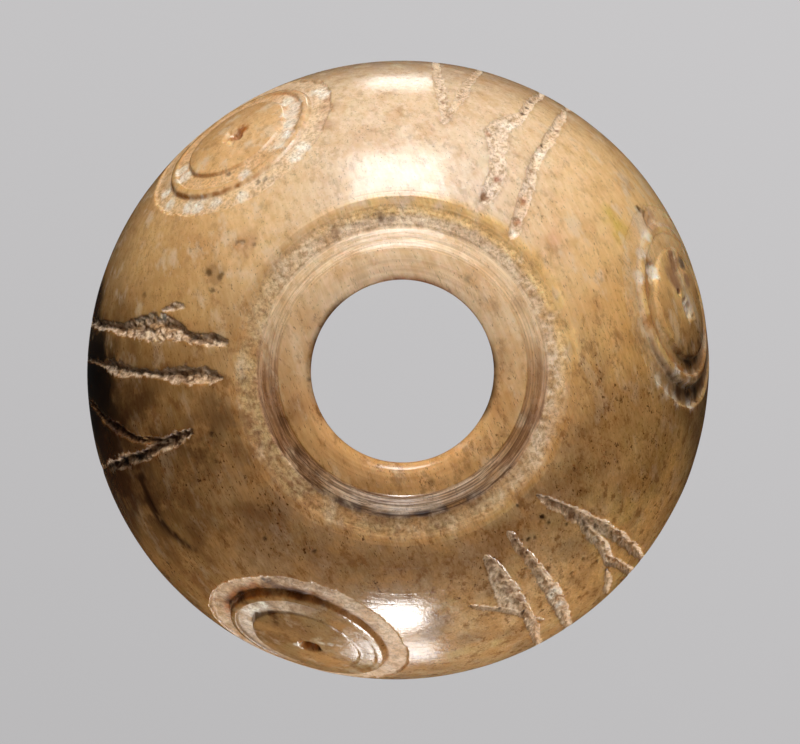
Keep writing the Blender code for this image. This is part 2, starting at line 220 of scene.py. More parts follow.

# Soft patches on the marks: the mark, places across and up it, reach, colour and strength.
# On the first mark, the dark and umber patches at across about -2 to -4, on its side away from the
# lamps, are painted shade in its grooves and at the boss's lower end; the white and ivory patches
# beside them on the ridge and the outer edge are partly pale crests and chips, partly painted light.
MARK_PATCHES = (
    (0, -0.3, -0.2, 0.75, "pearl", 0.85), (0, 0.45, 0.5, 0.22, "umber", 0.85),
    (0, 1.2, 0.6, 0.9, "bruise", 0.75), (0, 1.9, 0, 0.7, "bruise", 0.75),
    (0, 1.75, -0.95, 0.45, "slate", 0.75), (0, 2.4, -0.5, 0.25, "chalk", 0.6),
    (0, 0.9, -0.9, 0.5, "bruise", 0.7), (0, -2.35, 0.2, 0.85, "dark", 0.85),
    (0, -2.2, -0.7, 0.7, "umber", 0.8), (0, -1.9, 1.3, 0.5, "umber", 0.65),
    (0, -3.95, 0.2, 0.55, "dark", 0.8), (0, -3.75, 1.3, 0.5, "umber", 0.75),
    (0, -4, -0.7, 0.55, "dark", 0.8), (0, -3.2, 0.7, 0.38, "white", 0.75),
    (0, -2.8, 1.8, 0.38, "white", 0.75), (0, -3.25, -0.3, 0.38, "ivory", 0.75),
    (0, -3.1, 3.2, 0.38, "white", 0.6), (0, -4.1, 1.8, 0.38, "white", 0.7),
    (0, -4.5, 0.2, 0.38, "white", 0.7), (0, -3.7, 2.6, 0.38, "white", 0.65),
    (0, 2.1, 2.3, 0.45, "amber", 0.6), (0, -0.5, 3.35, 0.4, "amber", 0.6),
    (0, 0.9, 3, 0.45, "amber", 0.6), (0, 1.6, 2.2, 0.55, "white", 0.8),
    (0, 3.9, 0.6, 0.9, "bruise", 0.55), (0, 4.45, 1.1, 0.25, "umber", 0.85),
    (0, 3.8, 3.4, 0.9, "yellow", 0.55), (0, -0.2, 1.8, 1.1, "tan", 0.45),
    (0, 3.3, 1.6, 0.45, "white", 0.75), (0, 2.5, 2.6, 0.4, "white", 0.75),
    (0, 1.5, 3.3, 0.4, "white", 0.75), (1, -2.55, 0.9, 0.55, "white", 0.95),
    (1, -2.95, 0.35, 0.45, "white", 0.95), (1, -2.75, -0.4, 0.45, "white", 0.9),
    (1, -1.9, 2.4, 0.42, "white", 0.9), (1, -1.35, 2.8, 0.38, "white", 0.9),
    (1, -2.3, 1.7, 0.45, "white", 0.9), (1, -4.1, -0.2, 0.5, "white", 0.9),
    (1, -4.25, 0.5, 0.4, "white", 0.85), (1, -2.1, 3.65, 0.5, "white", 0.95),
    (1, -1.6, 3.9, 0.4, "white", 0.9), (1, 0.6, 3.15, 0.4, "white", 0.8),
    (1, 2.9, -0.1, 0.5, "white", 0.9), (1, 2.8, -0.9, 0.45, "white", 0.85),
    (1, 3.95, -0.55, 0.4, "white", 0.85), (1, 3.1, 2.6, 0.5, "white", 0.85),
    (1, 3.5, 2.1, 0.4, "white", 0.8), (1, 2.4, 3.3, 0.4, "white", 0.85),
    (1, 4.1, 0.7, 0.4, "white", 0.8), (1, 1.3, 4.1, 0.4, "white", 0.7),
    (1, -4.1, 1.9, 0.6, "rust", 0.35), (1, -3.5, 3, 0.6, "rust", 0.35),
    (1, -4.2, 1.1, 0.3, "rust", 0.5), (1, 0, 4.1, 0.16, "umber", 0.75),
    (1, 0.35, 4, 0.15, "umber", 0.7), (1, -0.3, 4.2, 0.12, "umber", 0.65),
    (1, 1.2, 3.8, 0.12, "soot", 0.75), (1, 1.2, 2.4, 0.16, "umber", 0.8),
    (1, -0.2, 0.1, 0.62, "rust", 0.85), (1, -0.5, 0.2, 0.3, "amber", 0.8),
    (2, 0.25, 0.1, 0.6, "amber", 0.95), (2, 0.15, 0, 0.36, "umber", 0.75),
    (2, 0.7, 0.05, 0.18, "soot", 0.9), (2, -0.3, -0.1, 0.22, "white", 0.8),
    (2, -2.1, 3.2, 0.6, "umber", 0.8), (2, -2.8, 2.5, 0.5, "amber", 0.85),
    (2, -3.2, 1.5, 0.4, "umber", 0.7), (2, -0.9, 3.55, 0.4, "umber", 0.8),
    (2, 0.4, 3.5, 0.3, "umber", 0.8), (2, -2.75, 0.45, 0.45, "white", 0.9),
    (2, -2.2, 2, 0.35, "white", 0.8), (2, -2.5, -0.7, 0.4, "white", 0.8),
    (2, -2.6, 1.2, 0.42, "white", 0.9), (2, -1.75, 1.65, 0.34, "umber", 0.9),
    (2, -1.5, 1.15, 0.26, "umber", 0.75), (2, -0.6, 1.2, 1.3, "brown", 0.4),
    (2, -1.6, -0.4, 1, "brown", 0.35), (2, 1.3, -1.2, 1.4, "honey", 0.45),
    (2, 0.7, 0.85, 0.12, "white", 0.8), (2, 1.1, 0.93, 0.12, "white", 0.8),
    (2, 1.5, 1, 0.12, "white", 0.8), (2, 1.9, 1.08, 0.12, "white", 0.8),
    (2, 3.1, 0.8, 0.45, "ivory", 0.7), (2, 2.9, -0.3, 0.45, "ivory", 0.7),
    (2, -2.6, 3.5, 0.14, "soot", 0.85),
)

# Bands of colour round the marks: the mark, the ring's radius and half width, which way the
# band's middle faces (degrees from the mark's across direction) and how far round it reaches
# to either side, colour and strength.
# On the first mark, the umber band facing 180 degrees, away from the lamps, is painted shadow on the
# outer ring's floor, and the gold band at its outer edge on that side is partly a pale chipped edge,
# partly painted light on the wall that faces the lamps.
RING_BANDS = (
    (0, 3.38, 0.18, 90, 90, "gold", 0.7), (0, 3.1, 0.12, 105, 65, "amber", 0.85),
    (0, 3.66, 0.08, 110, 50, "brown", 0.5), (0, 3.95, 0.33, 180, 38, "umber", 0.6),
    (0, 4.52, 0.13, 175, 60, "gold", 0.45), (0, 2.46, 0.14, 95, 60, "gold", 0.5),
    (1, 3.6, 0.09, 0, 85, "amber", 0.9), (1, 3.6, 0.09, 0, 85, "umber", 0.35),
    (1, 3.17, 0.09, 180, 40, "amber", 0.9), (1, 3.3, 0.08, 165, 45, "umber", 0.7),
    (1, 2.48, 0.08, 0, 75, "amber", 0.8), (1, 2.86, 0.28, 165, 40, "white", 1),
    (2, 2.85, 0.26, 175, 42, "white", 0.65),
)

# Soft patches round the mouth: azimuth, radius, reach, colour and strength. The soot at the bore's
# edge at azimuth 185 is painted shade.
MOUTH_PATCHES = (
    (340, 4.7, 1, "tan", 0.55), (200, 4.9, 0.8, "brown", 0.45), (150, 4.8, 0.9, "tan", 0.45),
    (215, 7.5, 1, "brown", 0.45), (198, 7.4, 0.7, "umber", 0.45), (30, 5.8, 0.6, "brown", 0.35),
    (98, 6.75, 0.42, "umber", 0.6), (94, 6.6, 0.3, "umber", 0.6), (103, 6.9, 0.25, "umber", 0.5),
    (116, 6.7, 0.4, "brown", 0.6), (112, 6.9, 0.25, "brown", 0.5), (185, 3.95, 0.16, "soot", 0.9),
    (55, 4.85, 0.1, "soot", 0.7), (23, 4.8, 0.1, "soot", 0.7), (285, 4.85, 0.14, "umber", 0.7),
    (183, 6.9, 0.35, "umber", 0.45), (207, 6.9, 0.3, "umber", 0.45), (218, 5.7, 0.45, "umber", 0.45),
    (203, 5.6, 0.4, "umber", 0.5), (230, 5.65, 0.35, "umber", 0.4), (340, 5.65, 0.4, "umber", 0.4),
    (333, 5.7, 0.3, "umber", 0.35),
)

# The bone's colours, as red, green and blue from 0 to 255.
COLOURS = {
    "cream": (228, 192, 145), "ivory": (236, 208, 172), "honey": (232, 172, 104),
    "tan": (202, 150, 92), "brown": (142, 94, 50), "umber": (84, 48, 20), "soot": (36, 22, 12),
    "dark": (52, 26, 9), "olive": (158, 124, 78), "chalk": (246, 218, 186), "yellow": (222, 186, 92),
    "ochre": (206, 146, 66), "slate": (58, 66, 76), "bruise": (158, 112, 92),
    "white": (255, 244, 228), "pearl": (250, 228, 206), "mauve": (116, 96, 78),
    "straw": (212, 184, 130), "gold": (255, 212, 146), "peach": (252, 216, 170),
    "pink": (228, 176, 140), "rust": (160, 88, 48), "amber": (190, 112, 40),
}

# How much of a colour's brightness comes from its red, green and blue.
LUMINANCE = (0.21, 0.72, 0.07)

# How much less red, green and blue the bone's flanks give back than its middle.
WARMTH = np.array((-0.02, 0.12, 0.42))

# Clouds in the southern half: colour, strength, the noise's low and high ends, and its size,
# layers and seed.
SOUTH_CLOUDS = (
    ("mauve", 0.50, 0.05, 0.75, 1.3, 3, 412), ("straw", 0.60, 0.05, 0.75, 1.1, 3, 416),
    ("brown", 0.50, 0.10, 0.80, 1.7, 4, 418),
)

# The longest edge allowed on each part of the mesh, the marks' rings where a step needs the
# finest of them, and the cells that the first, even mesh has round the axis and round the section.
EDGE_DOME = 0.50
EDGE_BASE = 1.3
EDGE_BORE = 0.9
EDGE_LIP = 0.36
EDGE_MOUTH = 0.20
EDGE_BY_STROKE = 0.14
EDGE_IN_STROKE = 0.088
EDGE_MARK = 0.2
EDGE_MARK_DETAIL = 0.125
STEP_RINGS = (4.55, 3.61, 3.22, 2.49)
FIRST_TURNS, FIRST_RUNS = 72, 44

# How many rounds of halving there may be, and a number above that of the mesh's points, with
# which an edge's two ends make one key.
MOST_HALVINGS = 24
KEY_STEP = 10 ** 7

# The outline's step, how often it is softened all over and where the turned edges are worn, and
# how many times over the mouth counts in the run.
PROFILE_STEP = 0.02
SOFT_PASSES = 4
WORN_PASSES = 70
MOUTH_STRETCH = 3.0

# Heights above which a point is on the shoulder or in the mouth.
SHOULDER_HEIGHT = 11.0
MOUTH_HEIGHT = 11.3

# Relief of the turned mouth: two grooves, turning lines and the ledge's chatter.
GROOVE_RADII = (5.40, 5.78)
GROOVE_WIDTH = 0.03
GROOVE_DEPTH = 0.025
LINES_DEPTH = 0.018
CHATTER_DEPTH = 0.024


# ---------------------------------------------------------------- noise
def hashed(cell, seed):
    """A fixed number from 0 to 1 for each whole-number cell."""
    mixed = seed * 668265263
    for axis, prime in enumerate((374761393, 2246822519, 3266489917)):
        mixed = mixed + cell[..., axis] * prime
    mixed &= 0xFFFFFFFF
    mixed = ((mixed ^ (mixed >> 15)) * 2246822519) & 0xFFFFFFFF
    mixed = ((mixed ^ (mixed >> 13)) * 3266489917) & 0xFFFFFFFF
    return (mixed ^ (mixed >> 16)) / 0xFFFFFFFF


def noise(points, size, seed):
    """Smooth noise from -1 to 1 with lumps of about the given size."""
    scaled = points / size
    cell = np.floor(scaled).astype(np.int64)
    share = scaled - cell
    share = share * share * (3.0 - 2.0 * share)
    total = np.zeros(len(points))
    for corner in np.ndindex(2, 2, 2):
        weight = np.prod(np.where(np.array(corner), share, 1.0 - share), axis=-1)
        total += weight * hashed(cell + np.array(corner), seed)
    return 2.0 * total - 1.0


def layered(points, size, layers, seed):
    """Noise with finer and fainter noise on top, about -1 to 1."""
    total = np.zeros(len(points))
    reach = 0.0
    for layer in range(layers):
        total += noise(points, size / 2.0 ** layer, seed + layer) / 1.6 ** layer
        reach += 1.0 / 1.6 ** layer
    return total / reach * 1.6


def facets(points, size, seed):
    """A broken surface: flat facets of random height and tilt, about -1 to 1."""
    scaled = points / size
    cell = np.floor(scaled).astype(np.int64)
    nearest = np.full(len(points), np.inf)
    height = np.zeros(len(points))
    for step in np.ndindex(3, 3, 3):
        near = cell + np.array(step) - 1
        jitter = np.stack([hashed(near, seed + axis) for axis in range(3)], axis=-1)
        offset = scaled - near - jitter
        distance = (offset ** 2).sum(axis=-1)
        tilt = np.stack([hashed(near, seed + 3 + axis) for axis in range(3)], axis=-1) - 0.5
        here = 2.0 * hashed(near, seed + 6) - 1.0 + 1.6 * (offset * tilt).sum(axis=-1)
        closer = distance < nearest
        nearest = np.where(closer, distance, nearest)
        height = np.where(closer, here, height)
    return height


def smooth(low, high, value):
    """0 below low and 1 above high, with a soft step between; low may be the larger."""
    share = np.clip((value - low) / (high - low), 0.0, 1.0)
    return share * share * (3.0 - 2.0 * share)


def between(start, full, fading, end, value):
    """1 from full to fading, with soft steps down to 0 at start and at end."""
    return smooth(start, full, value) * smooth(end, fading, value)


def bell(value, middle, width):
    """1 at the middle, falling softly to about 0 at twice the width on either side."""
    return np.exp(-((value - middle) / width) ** 2)


def colour(name):
    """A named colour's linear red, green and blue."""
    share = np.array(COLOURS[name]) / 255.0
    return np.where(share < 0.04, share / 12.9, ((share + 0.055) / 1.055) ** 2.4)


def blend(base, name, amount):
    """Mix a named colour into an array of colours."""
    return base + (colour(name) - base) * np.clip(amount, 0.0, 1.0)[:, None]


# ---------------------------------------------------------------- the smooth surface
def off_round(points):
    """Move points of the turned shape to the worn, slightly oval outline."""
    radius = np.hypot(points[:, 0], points[:, 1])
    share = np.maximum(0.0, (radius - ROUND_WITHIN) / (OUTER_RADIUS - ROUND_WITHIN))
    azimuth = np.arctan2(points[:, 1], points[:, 0])
    stretch = OVALITY * np.cos(2.0 * (azimuth - math.radians(OVAL_AZIMUTH)))
    moved = points.copy()
    for axis in range(2):
        moved[:, axis] += share * (stretch * points[:, axis] + OUTLINE_SHIFT[axis])
    return moved


def polar(azimuth, radius, height):
    """Points at azimuths in degrees, radii and heights."""
    around = np.radians(azimuth)
    return np.stack([radius * np.cos(around), radius * np.sin(around), height], axis=-1)


def heading(azimuth):
    """The level direction at an azimuth in degrees."""
    return polar(azimuth, 1.0, 0.0)[:2]


def dome_points(azimuth, rise):
    """Points of the dome at azimuths and rises in degrees."""
    azimuth = np.atleast_1d(np.asarray(azimuth, float))
    up = np.radians(np.atleast_1d(np.asarray(rise, float)))
    radius = OUTER_RADIUS - DOME_ARC_RADIUS * (1.0 - np.cos(up))
    height = EQUATOR_HEIGHT + DOME_ARC_RADIUS * np.sin(up)
    return off_round(polar(azimuth, radius, height))


def profile_table():
    """The turned outline, finely stepped and slightly rounded: run, radius and height.

    The run goes round the section once, from the bore's lower edge up the bore, over the
    collar and the dome and back under the base. It counts the turned mouth several times
    over, so that the mesh is finer across it than round it.
    """
    outline = [(BORE_BASE_RADIUS, BORE_EDGE_BREAK)]
    for turn in np.radians(np.linspace(0.0, 90.0, 24)):
        outline.append((LIP_CREST[0] - (LIP_CREST[0] - BORE_NECK[0]) * math.cos(turn),
                        BORE_NECK[1] + (LIP_CREST[1] - BORE_NECK[1]) * math.sin(turn)))
    outline += [LIP_MIDDLE, LIP_EDGE, COLLAR_WAIST, COLLAR_FOOT, LEDGE_OUTER]
    for rise in np.radians(np.linspace(SHOULDER_RISE, 0.0, 120)):
        outline.append((OUTER_RADIUS - DOME_ARC_RADIUS * (1.0 - math.cos(rise)),
                        EQUATOR_HEIGHT + DOME_ARC_RADIUS * math.sin(rise)))
    for turn in np.radians(np.linspace(90.0, 0.0, 30)[1:]):
        outline.append((BASE_RADIUS + (OUTER_RADIUS - BASE_RADIUS) * math.sin(turn),
                        EQUATOR_HEIGHT * (1.0 - math.cos(turn))))
    outline.append((BORE_BASE_RADIUS + BORE_EDGE_BREAK, 0.0))
    outline.append(outline[0])
    outline = np.array(outline)
    lengths = np.hypot(*np.diff(outline, axis=0).T)
    along = np.concatenate([[0.0], np.cumsum(lengths)])
    steps = np.arange(0.0, along[-1], PROFILE_STEP)
    radius = np.interp(steps, along, outline[:, 0])
    height = np.interp(steps, along, outline[:, 1])
    worn = (radius > 5.9) & (radius < 8.0) & (height > SHOULDER_HEIGHT)
    for number in range(WORN_PASSES):
        rounded = np.ones(len(radius), bool) if number < SOFT_PASSES else worn
        for values in (radius, height):
            softer = (np.roll(values, 1) + 2.0 * values + np.roll(values, -1)) / 4.0
            values[rounded] = softer[rounded]
    mouth = (radius > LIP_EDGE[0] - 0.1) & (radius < 7.45) & (height > SHOULDER_HEIGHT)
    pace = np.hypot(radius - np.roll(radius, 1), height - np.roll(height, 1))
    pace = pace * np.where(mouth, MOUTH_STRETCH, 1.0)
    pace[0] = 0.0
    run = np.cumsum(pace)
    total = run[-1] + math.hypot(radius[0] - radius[-1], height[0] - height[-1])
    return run, radius, height, total


RUN, RUN_RADIUS, RUN_HEIGHT, RUN_TOTAL = profile_table()


def lip_lift(turn, radius, height):
    """How much higher the lip's inner edge stands where wear has left it square."""
    square = smooth(-0.60, 0.50, np.cos(np.radians(turn - LIP_SQUARE_AZIMUTH)))
    roll = (radius < LIP_CREST[0]) & (height > 9.0)
    below_crest = np.where(height > BORE_NECK[1], LIP_CREST[1] - height,
                           (LIP_CREST[1] - BORE_NECK[1]) * smooth(9, BORE_NECK[1], height))
    return 0.88 * square * roll * below_crest


class Places:
    """Points of the smooth surface, with what the carving and the colours ask about them."""

    def __init__(self, turn, run):
        self.turn = turn % 360.0
        self.run = run % RUN_TOTAL
        ahead = self.profile(self.run + PROFILE_STEP)
        behind = self.profile(self.run - PROFILE_STEP)
        self.radius, self.height = self.profile(self.run)
        along_radius = ahead[0] - behind[0]
        along_height = ahead[1] - behind[1]
        size = np.hypot(along_radius, along_height)
        self.normal = polar(self.turn, -along_height / size, along_radius / size)
        level = self.height + lip_lift(self.turn, self.radius, self.height)
        self.point = off_round(polar(self.turn, self.radius, level))
        self.rise = np.degrees(np.arctan2(
            self.height - EQUATOR_HEIGHT, self.radius - (OUTER_RADIUS - DOME_ARC_RADIUS)))
        self.on_dome = (self.radius > ROUND_WITHIN - 0.05) & (self.height > 0.3)
        self.in_bore = (self.radius < BORE_NECK[0] + 0.35) & (self.height > 0.02)

    @staticmethod
    def profile(run):
        radius = np.interp(run, RUN, RUN_RADIUS, period=RUN_TOTAL)
        height = np.interp(run, RUN, RUN_HEIGHT, period=RUN_TOTAL)
        return radius, height


# ---------------------------------------------------------------- strokes
def nearest_on_path(points, normals, stations):
    """For each point: its signed distance to one side of a path, and the path's width there."""
    stations = np.array(stations)
    path = dome_points(stations[:, 0], stations[:, 1])
    best = np.full(len(points), np.inf)
    side = np.zeros(len(points))
    width = np.zeros(len(points))
    for number in range(len(path) - 1):
        start, end = path[number], path[number + 1]
        along = end - start
        share = np.clip(((points - start) @ along) / (along @ along), 0.0, 1.0)
        offset = points - (start + share[:, None] * along)
        distance = np.sqrt((offset ** 2).sum(axis=1))
        sideways = np.einsum("ij,ij->i", offset, np.cross(normals, along))
        closer = distance < best
        best = np.where(closer, distance, best)
        side = np.where(closer, np.sign(sideways) * distance, side)
        here = stations[number, 2] + share * (stations[number + 1, 2] - stations[number, 2])
        width = np.where(closer, here, width)
    return side, width


def stroke_carving(places):
    """How deep the strokes cut, and what their colours ask about each point.

    The second result holds how far a point is inside a stroke, how chalky and how dirty it
    is there, and how far it lies outside every stroke.
    """
    count = len(places.turn)
    depth, inside, chalk, dirt = (np.zeros(count) for _ in range(4))
    outside = np.full(count, 9.0)
    for number, (most, lean, white, dark, stations) in enumerate(STROKES):
        turns = [station[0] for station in stations]
        near = (places.turn > min(turns) - 6.0) & (places.turn < max(turns) + 6.0)
        near &= places.on_dome & (places.rise > -4.0)
        picked = np.flatnonzero(near)
        if not len(picked):
            continue
        points = places.point[picked]
        side, width = nearest_on_path(points, places.normal[picked], stations)
        side = side + 0.04 * noise(points, 0.45, 40 + number)
        ragged = 1.0 + min(0.30, max(0.14, dark - 0.10)) * facets(points, 0.26, 60 + number)
        half = 0.5 * width * ragged
        across = side / half
        lean_here = np.clip(lean + 0.30 * noise(points, 0.8, 80 + number), -0.9, 0.9)
        slope = np.where(across > lean_here, (1.0 - across) / (1.0 - lean_here),
                         (1.0 + across) / (1.0 + lean_here))
        slope = np.clip(slope, 0.0, 1.0)
        fade = smooth(-3, 4, places.rise[picked])
        crumbs = 0.6 * facets(points, 0.20, 100 + number) + layered(points, 0.24, 3, 120 + number)
        roundness = 1.0 if most < 0.1 else 0.7
        cut = np.minimum(most, 1.15 * half) * slope ** roundness * (1.0 + 0.50 * crumbs)
        depth[picked] = np.maximum(depth[picked], cut * fade)
        within = smooth(1.06, 0.88, np.abs(across)) * fade
        bottom = smooth(0.70, 1.15, slope - 0.45 * crumbs)
        speckle = layered(points, 0.16, 2, 140 + number)
        clean = 1.0 - (0.25 + dark) * smooth(0.25, -0.35, speckle)
        low = within * bottom
        soil = within * np.maximum(dark * bottom, 1.8 * dark * smooth(0.15, 0.70, -speckle))
        inside[picked] = np.maximum(inside[picked], within)
        chalk[picked] = np.maximum(chalk[picked], white * clean * within * (1.0 - 0.7 * low))
        dirt[picked] = np.maximum(dirt[picked], soil)
        outside[picked] = np.minimum(outside[picked], np.abs(side) - half)
    return depth, (inside, chalk, dirt, outside)


# ---------------------------------------------------------------- ring-and-dot marks
def mark_frames():
    """The centre and the across, upward and outward directions of each mark."""
    frames = []
    for azimuth, rise in MARKS:
        step = 0.05
        centre = dome_points(azimuth, rise)[0]
        along = (dome_points(azimuth + step, rise) - dome_points(azimuth - step, rise))[0]
        up = (dome_points(azimuth, rise + step) - dome_points(azimuth, rise - step))[0]
        outward = np.cross(along, up)
        outward /= np.linalg.norm(outward)
        across = np.cross((0.0, 0.0, 1.0), outward)
        across /= np.linalg.norm(across)
        frames.append((centre, across, np.cross(outward, across), outward))
    return frames


MARK_FRAMES = mark_frames()


def mark_places(places, number):
    """Which points lie near a mark, and their across, upward and outward places there."""
    centre, across, upward, outward = MARK_FRAMES[number]
    offset = places.point - centre
    local = offset @ np.stack([across, upward, outward], axis=1)
    near = np.hypot(local[:, 0], local[:, 1]) < MARK_REACH
    near &= (local[:, 2] > MARK_LOWEST) & places.on_dome
    picked = np.flatnonzero(near)
    return picked, local[picked]


def mark_carving(places, number):
    """How far each point near a mark moves in along the bit's axis, and its ring masks."""
    picked, local = mark_places(places, number)
    points = places.point[picked]
    x, y, w = local.T
    out = np.hypot(x, y)
    out = out + 0.025 * noise(points, 0.5, 200 + number)
    stony = 0.035 * layered(points, 0.5, 3, 210 + number)
    stony = stony + 0.015 * facets(points, 0.3, 220 + number)
    # the outer ring
    foot, edge, foot_floor, edge_floor = OUTER_FLOOR
    share = np.clip((out - foot) / (edge - foot), 0.0, 1.0)
    floor = foot_floor + share * (edge_floor - foot_floor) + stony
    edge_here = edge + 0.05 * facets(points, 0.35, 230 + number)
    in_outer = smooth(RIDGE[1], foot, out) * smooth(edge_here + 0.05, edge_here - 0.03, out)
    outer_cut = np.maximum(w - floor, 0.03) * in_outer
    # the inner ring
    inner_foot, inner_edge, inner_floor = INNER_FLOOR
    in_inner = smooth(BOSS_RADIUS, inner_foot, out)
    in_inner = in_inner * smooth(inner_edge + 0.05, inner_edge - 0.03, out)
    inner_cut = np.maximum(w - inner_floor - 0.6 * stony, 0.02) * in_inner
    if number == SOUTH_MARK:
        shallow = 1.0 - 0.65 * smooth(-1.8, 0.8, x)
        inner_cut = inner_cut * shallow * (1.0 - 0.75 * smooth(0.3, 1.8, y))
    lower, upper, worn = MARK_DEPTHS[number]
    share = lower + (upper - lower) * smooth(-2.5, 3, y)
    share = share * (1.0 - worn * smooth(-0.5, 3, x))
    depth = (outer_cut + inner_cut) * share
    for mark, across, up, reach, deep, ragged in PITS:
        if mark != number:
            continue
        away = np.hypot(x - across, y - up) / reach
        away = away + ragged * layered(points, 0.35, 2, 240 + number)
        depth = depth + deep * smooth(1, 0.35, away) * (1.0 + ragged * facets(points, 0.2, 250))
    return picked, local, depth, in_outer, in_inner


# ---------------------------------------------------------------- specks and patches
def close_by(points, centre, reach):
    """The points in a box round a centre: their numbers, places and distances from it."""
    picked = np.flatnonzero(np.abs(points - centre).max(axis=1) < reach)
    near = points[picked]
    return picked, near, np.sqrt(((near - centre) ** 2).sum(axis=1))


def patched(tint, points, place_at, patches, seed):
    """Mix soft patches with ragged edges into the colours; place_at gives their centres."""
    for number, (first, second, reach, name, strength) in enumerate(patches):
        centre = place_at(first, second)[0]
        picked, near, away = close_by(points, centre, 1.5 * reach)
        away = away / reach + 0.35 * layered(near, 0.45 * reach, 3, seed + number)
        tint[picked] = blend(tint[picked], name, strength * smooth(1, 0.2, away))
    return tint


def speck_cover(places, margin=0.0):
    """How dark each point is made by the specks, from 0 to 1."""
    cover = np.zeros(len(places.turn))
    for number, (azimuth, rise, radius, darkness) in enumerate(SPECKS):
        centre = dome_points(azimuth, rise)[0]
        picked, points, away = close_by(places.point, centre, radius + margin + 0.1)
        away += 0.3 * radius * noise(points, 0.12, 500 + number)
        here = darkness * smooth(radius + margin, 0.5 * radius, away)
        cover[picked] = np.maximum(cover[picked], here)
    return cover


# ---------------------------------------------------------------- the mesh
def wanted_size(turn, run):
    """How long an edge may be at a place on the surface."""
    places = Places(turn, run)
    size = np.full(len(turn), EDGE_DOME)
    size[~places.on_dome & ~places.in_bore & (places.height < 1.0)] = EDGE_BASE
    size[places.in_bore] = EDGE_BORE
    size[(places.radius < LIP_EDGE[0]) & (places.height > 11.8)] = EDGE_LIP
    mouth = (places.radius > LIP_EDGE[0] - 0.1) & (places.radius < 7.5)
    size[mouth & (places.height > MOUTH_HEIGHT)] = EDGE_MOUTH
    outside = stroke_carving(places)[1][-1]
    size = np.where(outside < 0.07, np.minimum(size, EDGE_BY_STROKE), size)
    size = np.where(outside < 0.0, EDGE_IN_STROKE, size)
    for number in range(len(MARKS)):
        picked, local = mark_places(places, number)
        out = np.hypot(local[:, 0], local[:, 1])
        detailed = np.zeros(len(out), bool)
        for mark, x, y, reach, deep, ragged in PITS:
            if mark == number:
                detailed |= np.hypot(local[:, 0] - x, local[:, 1] - y) < reach + 0.1
        for ring in STEP_RINGS:
            detailed |= np.abs(out - ring) < 0.14
        limit = np.where(detailed, EDGE_MARK_DETAIL, np.where(out < 4.75, EDGE_MARK, np.inf))
        size[picked] = np.minimum(size[picked], limit)
    near = speck_cover(places, 0.12) > 0.0
    size[near] = np.minimum(size[near], EDGE_BY_STROKE)
    return size


def refined_triangles():
    """Triangles over the whole surface, halved again and again where the carving is fine.

    A triangle is halved across its first edge. Its two parts are turned so that their own
    first edge is next in line, which keeps every triangle a half-square.
    """
    turn = np.repeat(np.arange(FIRST_TURNS), FIRST_RUNS) * 360.0 / FIRST_TURNS
    run = np.tile(np.arange(FIRST_RUNS), FIRST_TURNS) * RUN_TOTAL / FIRST_RUNS
    index = np.arange(FIRST_TURNS * FIRST_RUNS).reshape(FIRST_TURNS, FIRST_RUNS)
    a, b, c, d = (np.roll(index, (-turns, -runs), axis=(0, 1)).ravel()
                  for turns, runs in ((0, 0), (0, 1), (1, 1), (1, 0)))
    triangles = np.concatenate([np.stack([c, a, d], 1), np.stack([a, c, b], 1)])

    def halfway(first, second, values, period):
        gap = (values[second] - values[first] + 0.5 * period) % period - 0.5 * period
        return (values[first] + 0.5 * gap) % period

    for _ in range(MOST_HALVINGS):
        first, second = triangles[:, 0], triangles[:, 1]
        gap_turn = (turn[second] - turn[first] + 180.0) % 360.0 - 180.0
        gap_run = (run[second] - run[first] + RUN_TOTAL / 2) % RUN_TOTAL - RUN_TOTAL / 2
        middle_turn = halfway(first, second, turn, 360.0)
        middle_run = halfway(first, second, run, RUN_TOTAL)
        radius = Places.profile(middle_run)[0]
        length = np.hypot(np.radians(gap_turn) * radius, gap_run)
        long = np.flatnonzero(length > EDGE_IN_STROKE)
        long = long[length[long] > wanted_size(middle_turn[long], middle_run[long])]
        if not len(long):
            break
        edges = np.sort(np.stack([triangles, np.roll(triangles, -1, axis=1)], -1), axis=-1)
        keys, edge = np.unique(edges[..., 0] * KEY_STEP + edges[..., 1], return_inverse=True)
        edge = edge.reshape(-1, 3)
        split = np.zeros(len(keys), bool)
        split[edge[long, 0]] = True
        while True:
            late = (split[edge[:, 1]] | split[edge[:, 2]]) & ~split[edge[:, 0]]
            if not late.any():
                break
            split[edge[late, 0]] = True
        halved = keys[split]
        fresh = np.full(len(keys), -1)
        fresh[split] = len(turn) + np.arange(len(halved))
        ends = (halved // KEY_STEP, halved % KEY_STEP)
        turn = np.concatenate([turn, halfway(*ends, turn, 360.0)])
        run = np.concatenate([run, halfway(*ends, run, RUN_TOTAL)])
        halving = split[edge[:, 0]]
        middle = fresh[edge[:, 0]]
        parts = [triangles[~halving]]
        # each half keeps one old edge, from its apex to its start, which may be split as well
        for apex, start, kept_edge in ((2, 0, 2), (1, 2, 1)):
            again = halving & split[edge[:, kept_edge]]
            newest = fresh[edge[:, kept_edge]]
            top, tail = triangles[:, apex], triangles[:, start]
            parts.append(np.stack([top, tail, middle], 1)[halving & ~again])
            parts.append(np.stack([middle, top, newest], 1)[again])
            parts.append(np.stack([tail, middle, newest], 1)[again])
        triangles = np.concatenate(parts)
    return turn, run, triangles


def turned_lines(places):
    """The fine lines that the turning tool left round the mouth, about -1 to 1."""
    slow = polar(places.turn, 0.12, 0.0 * places.turn)
    points = np.stack([places.radius, slow[:, 0], slow[:, 1]], axis=-1)
    return 0.75 * noise(points, 0.07, 300) + 0.6 * noise(points, 0.15, 301)


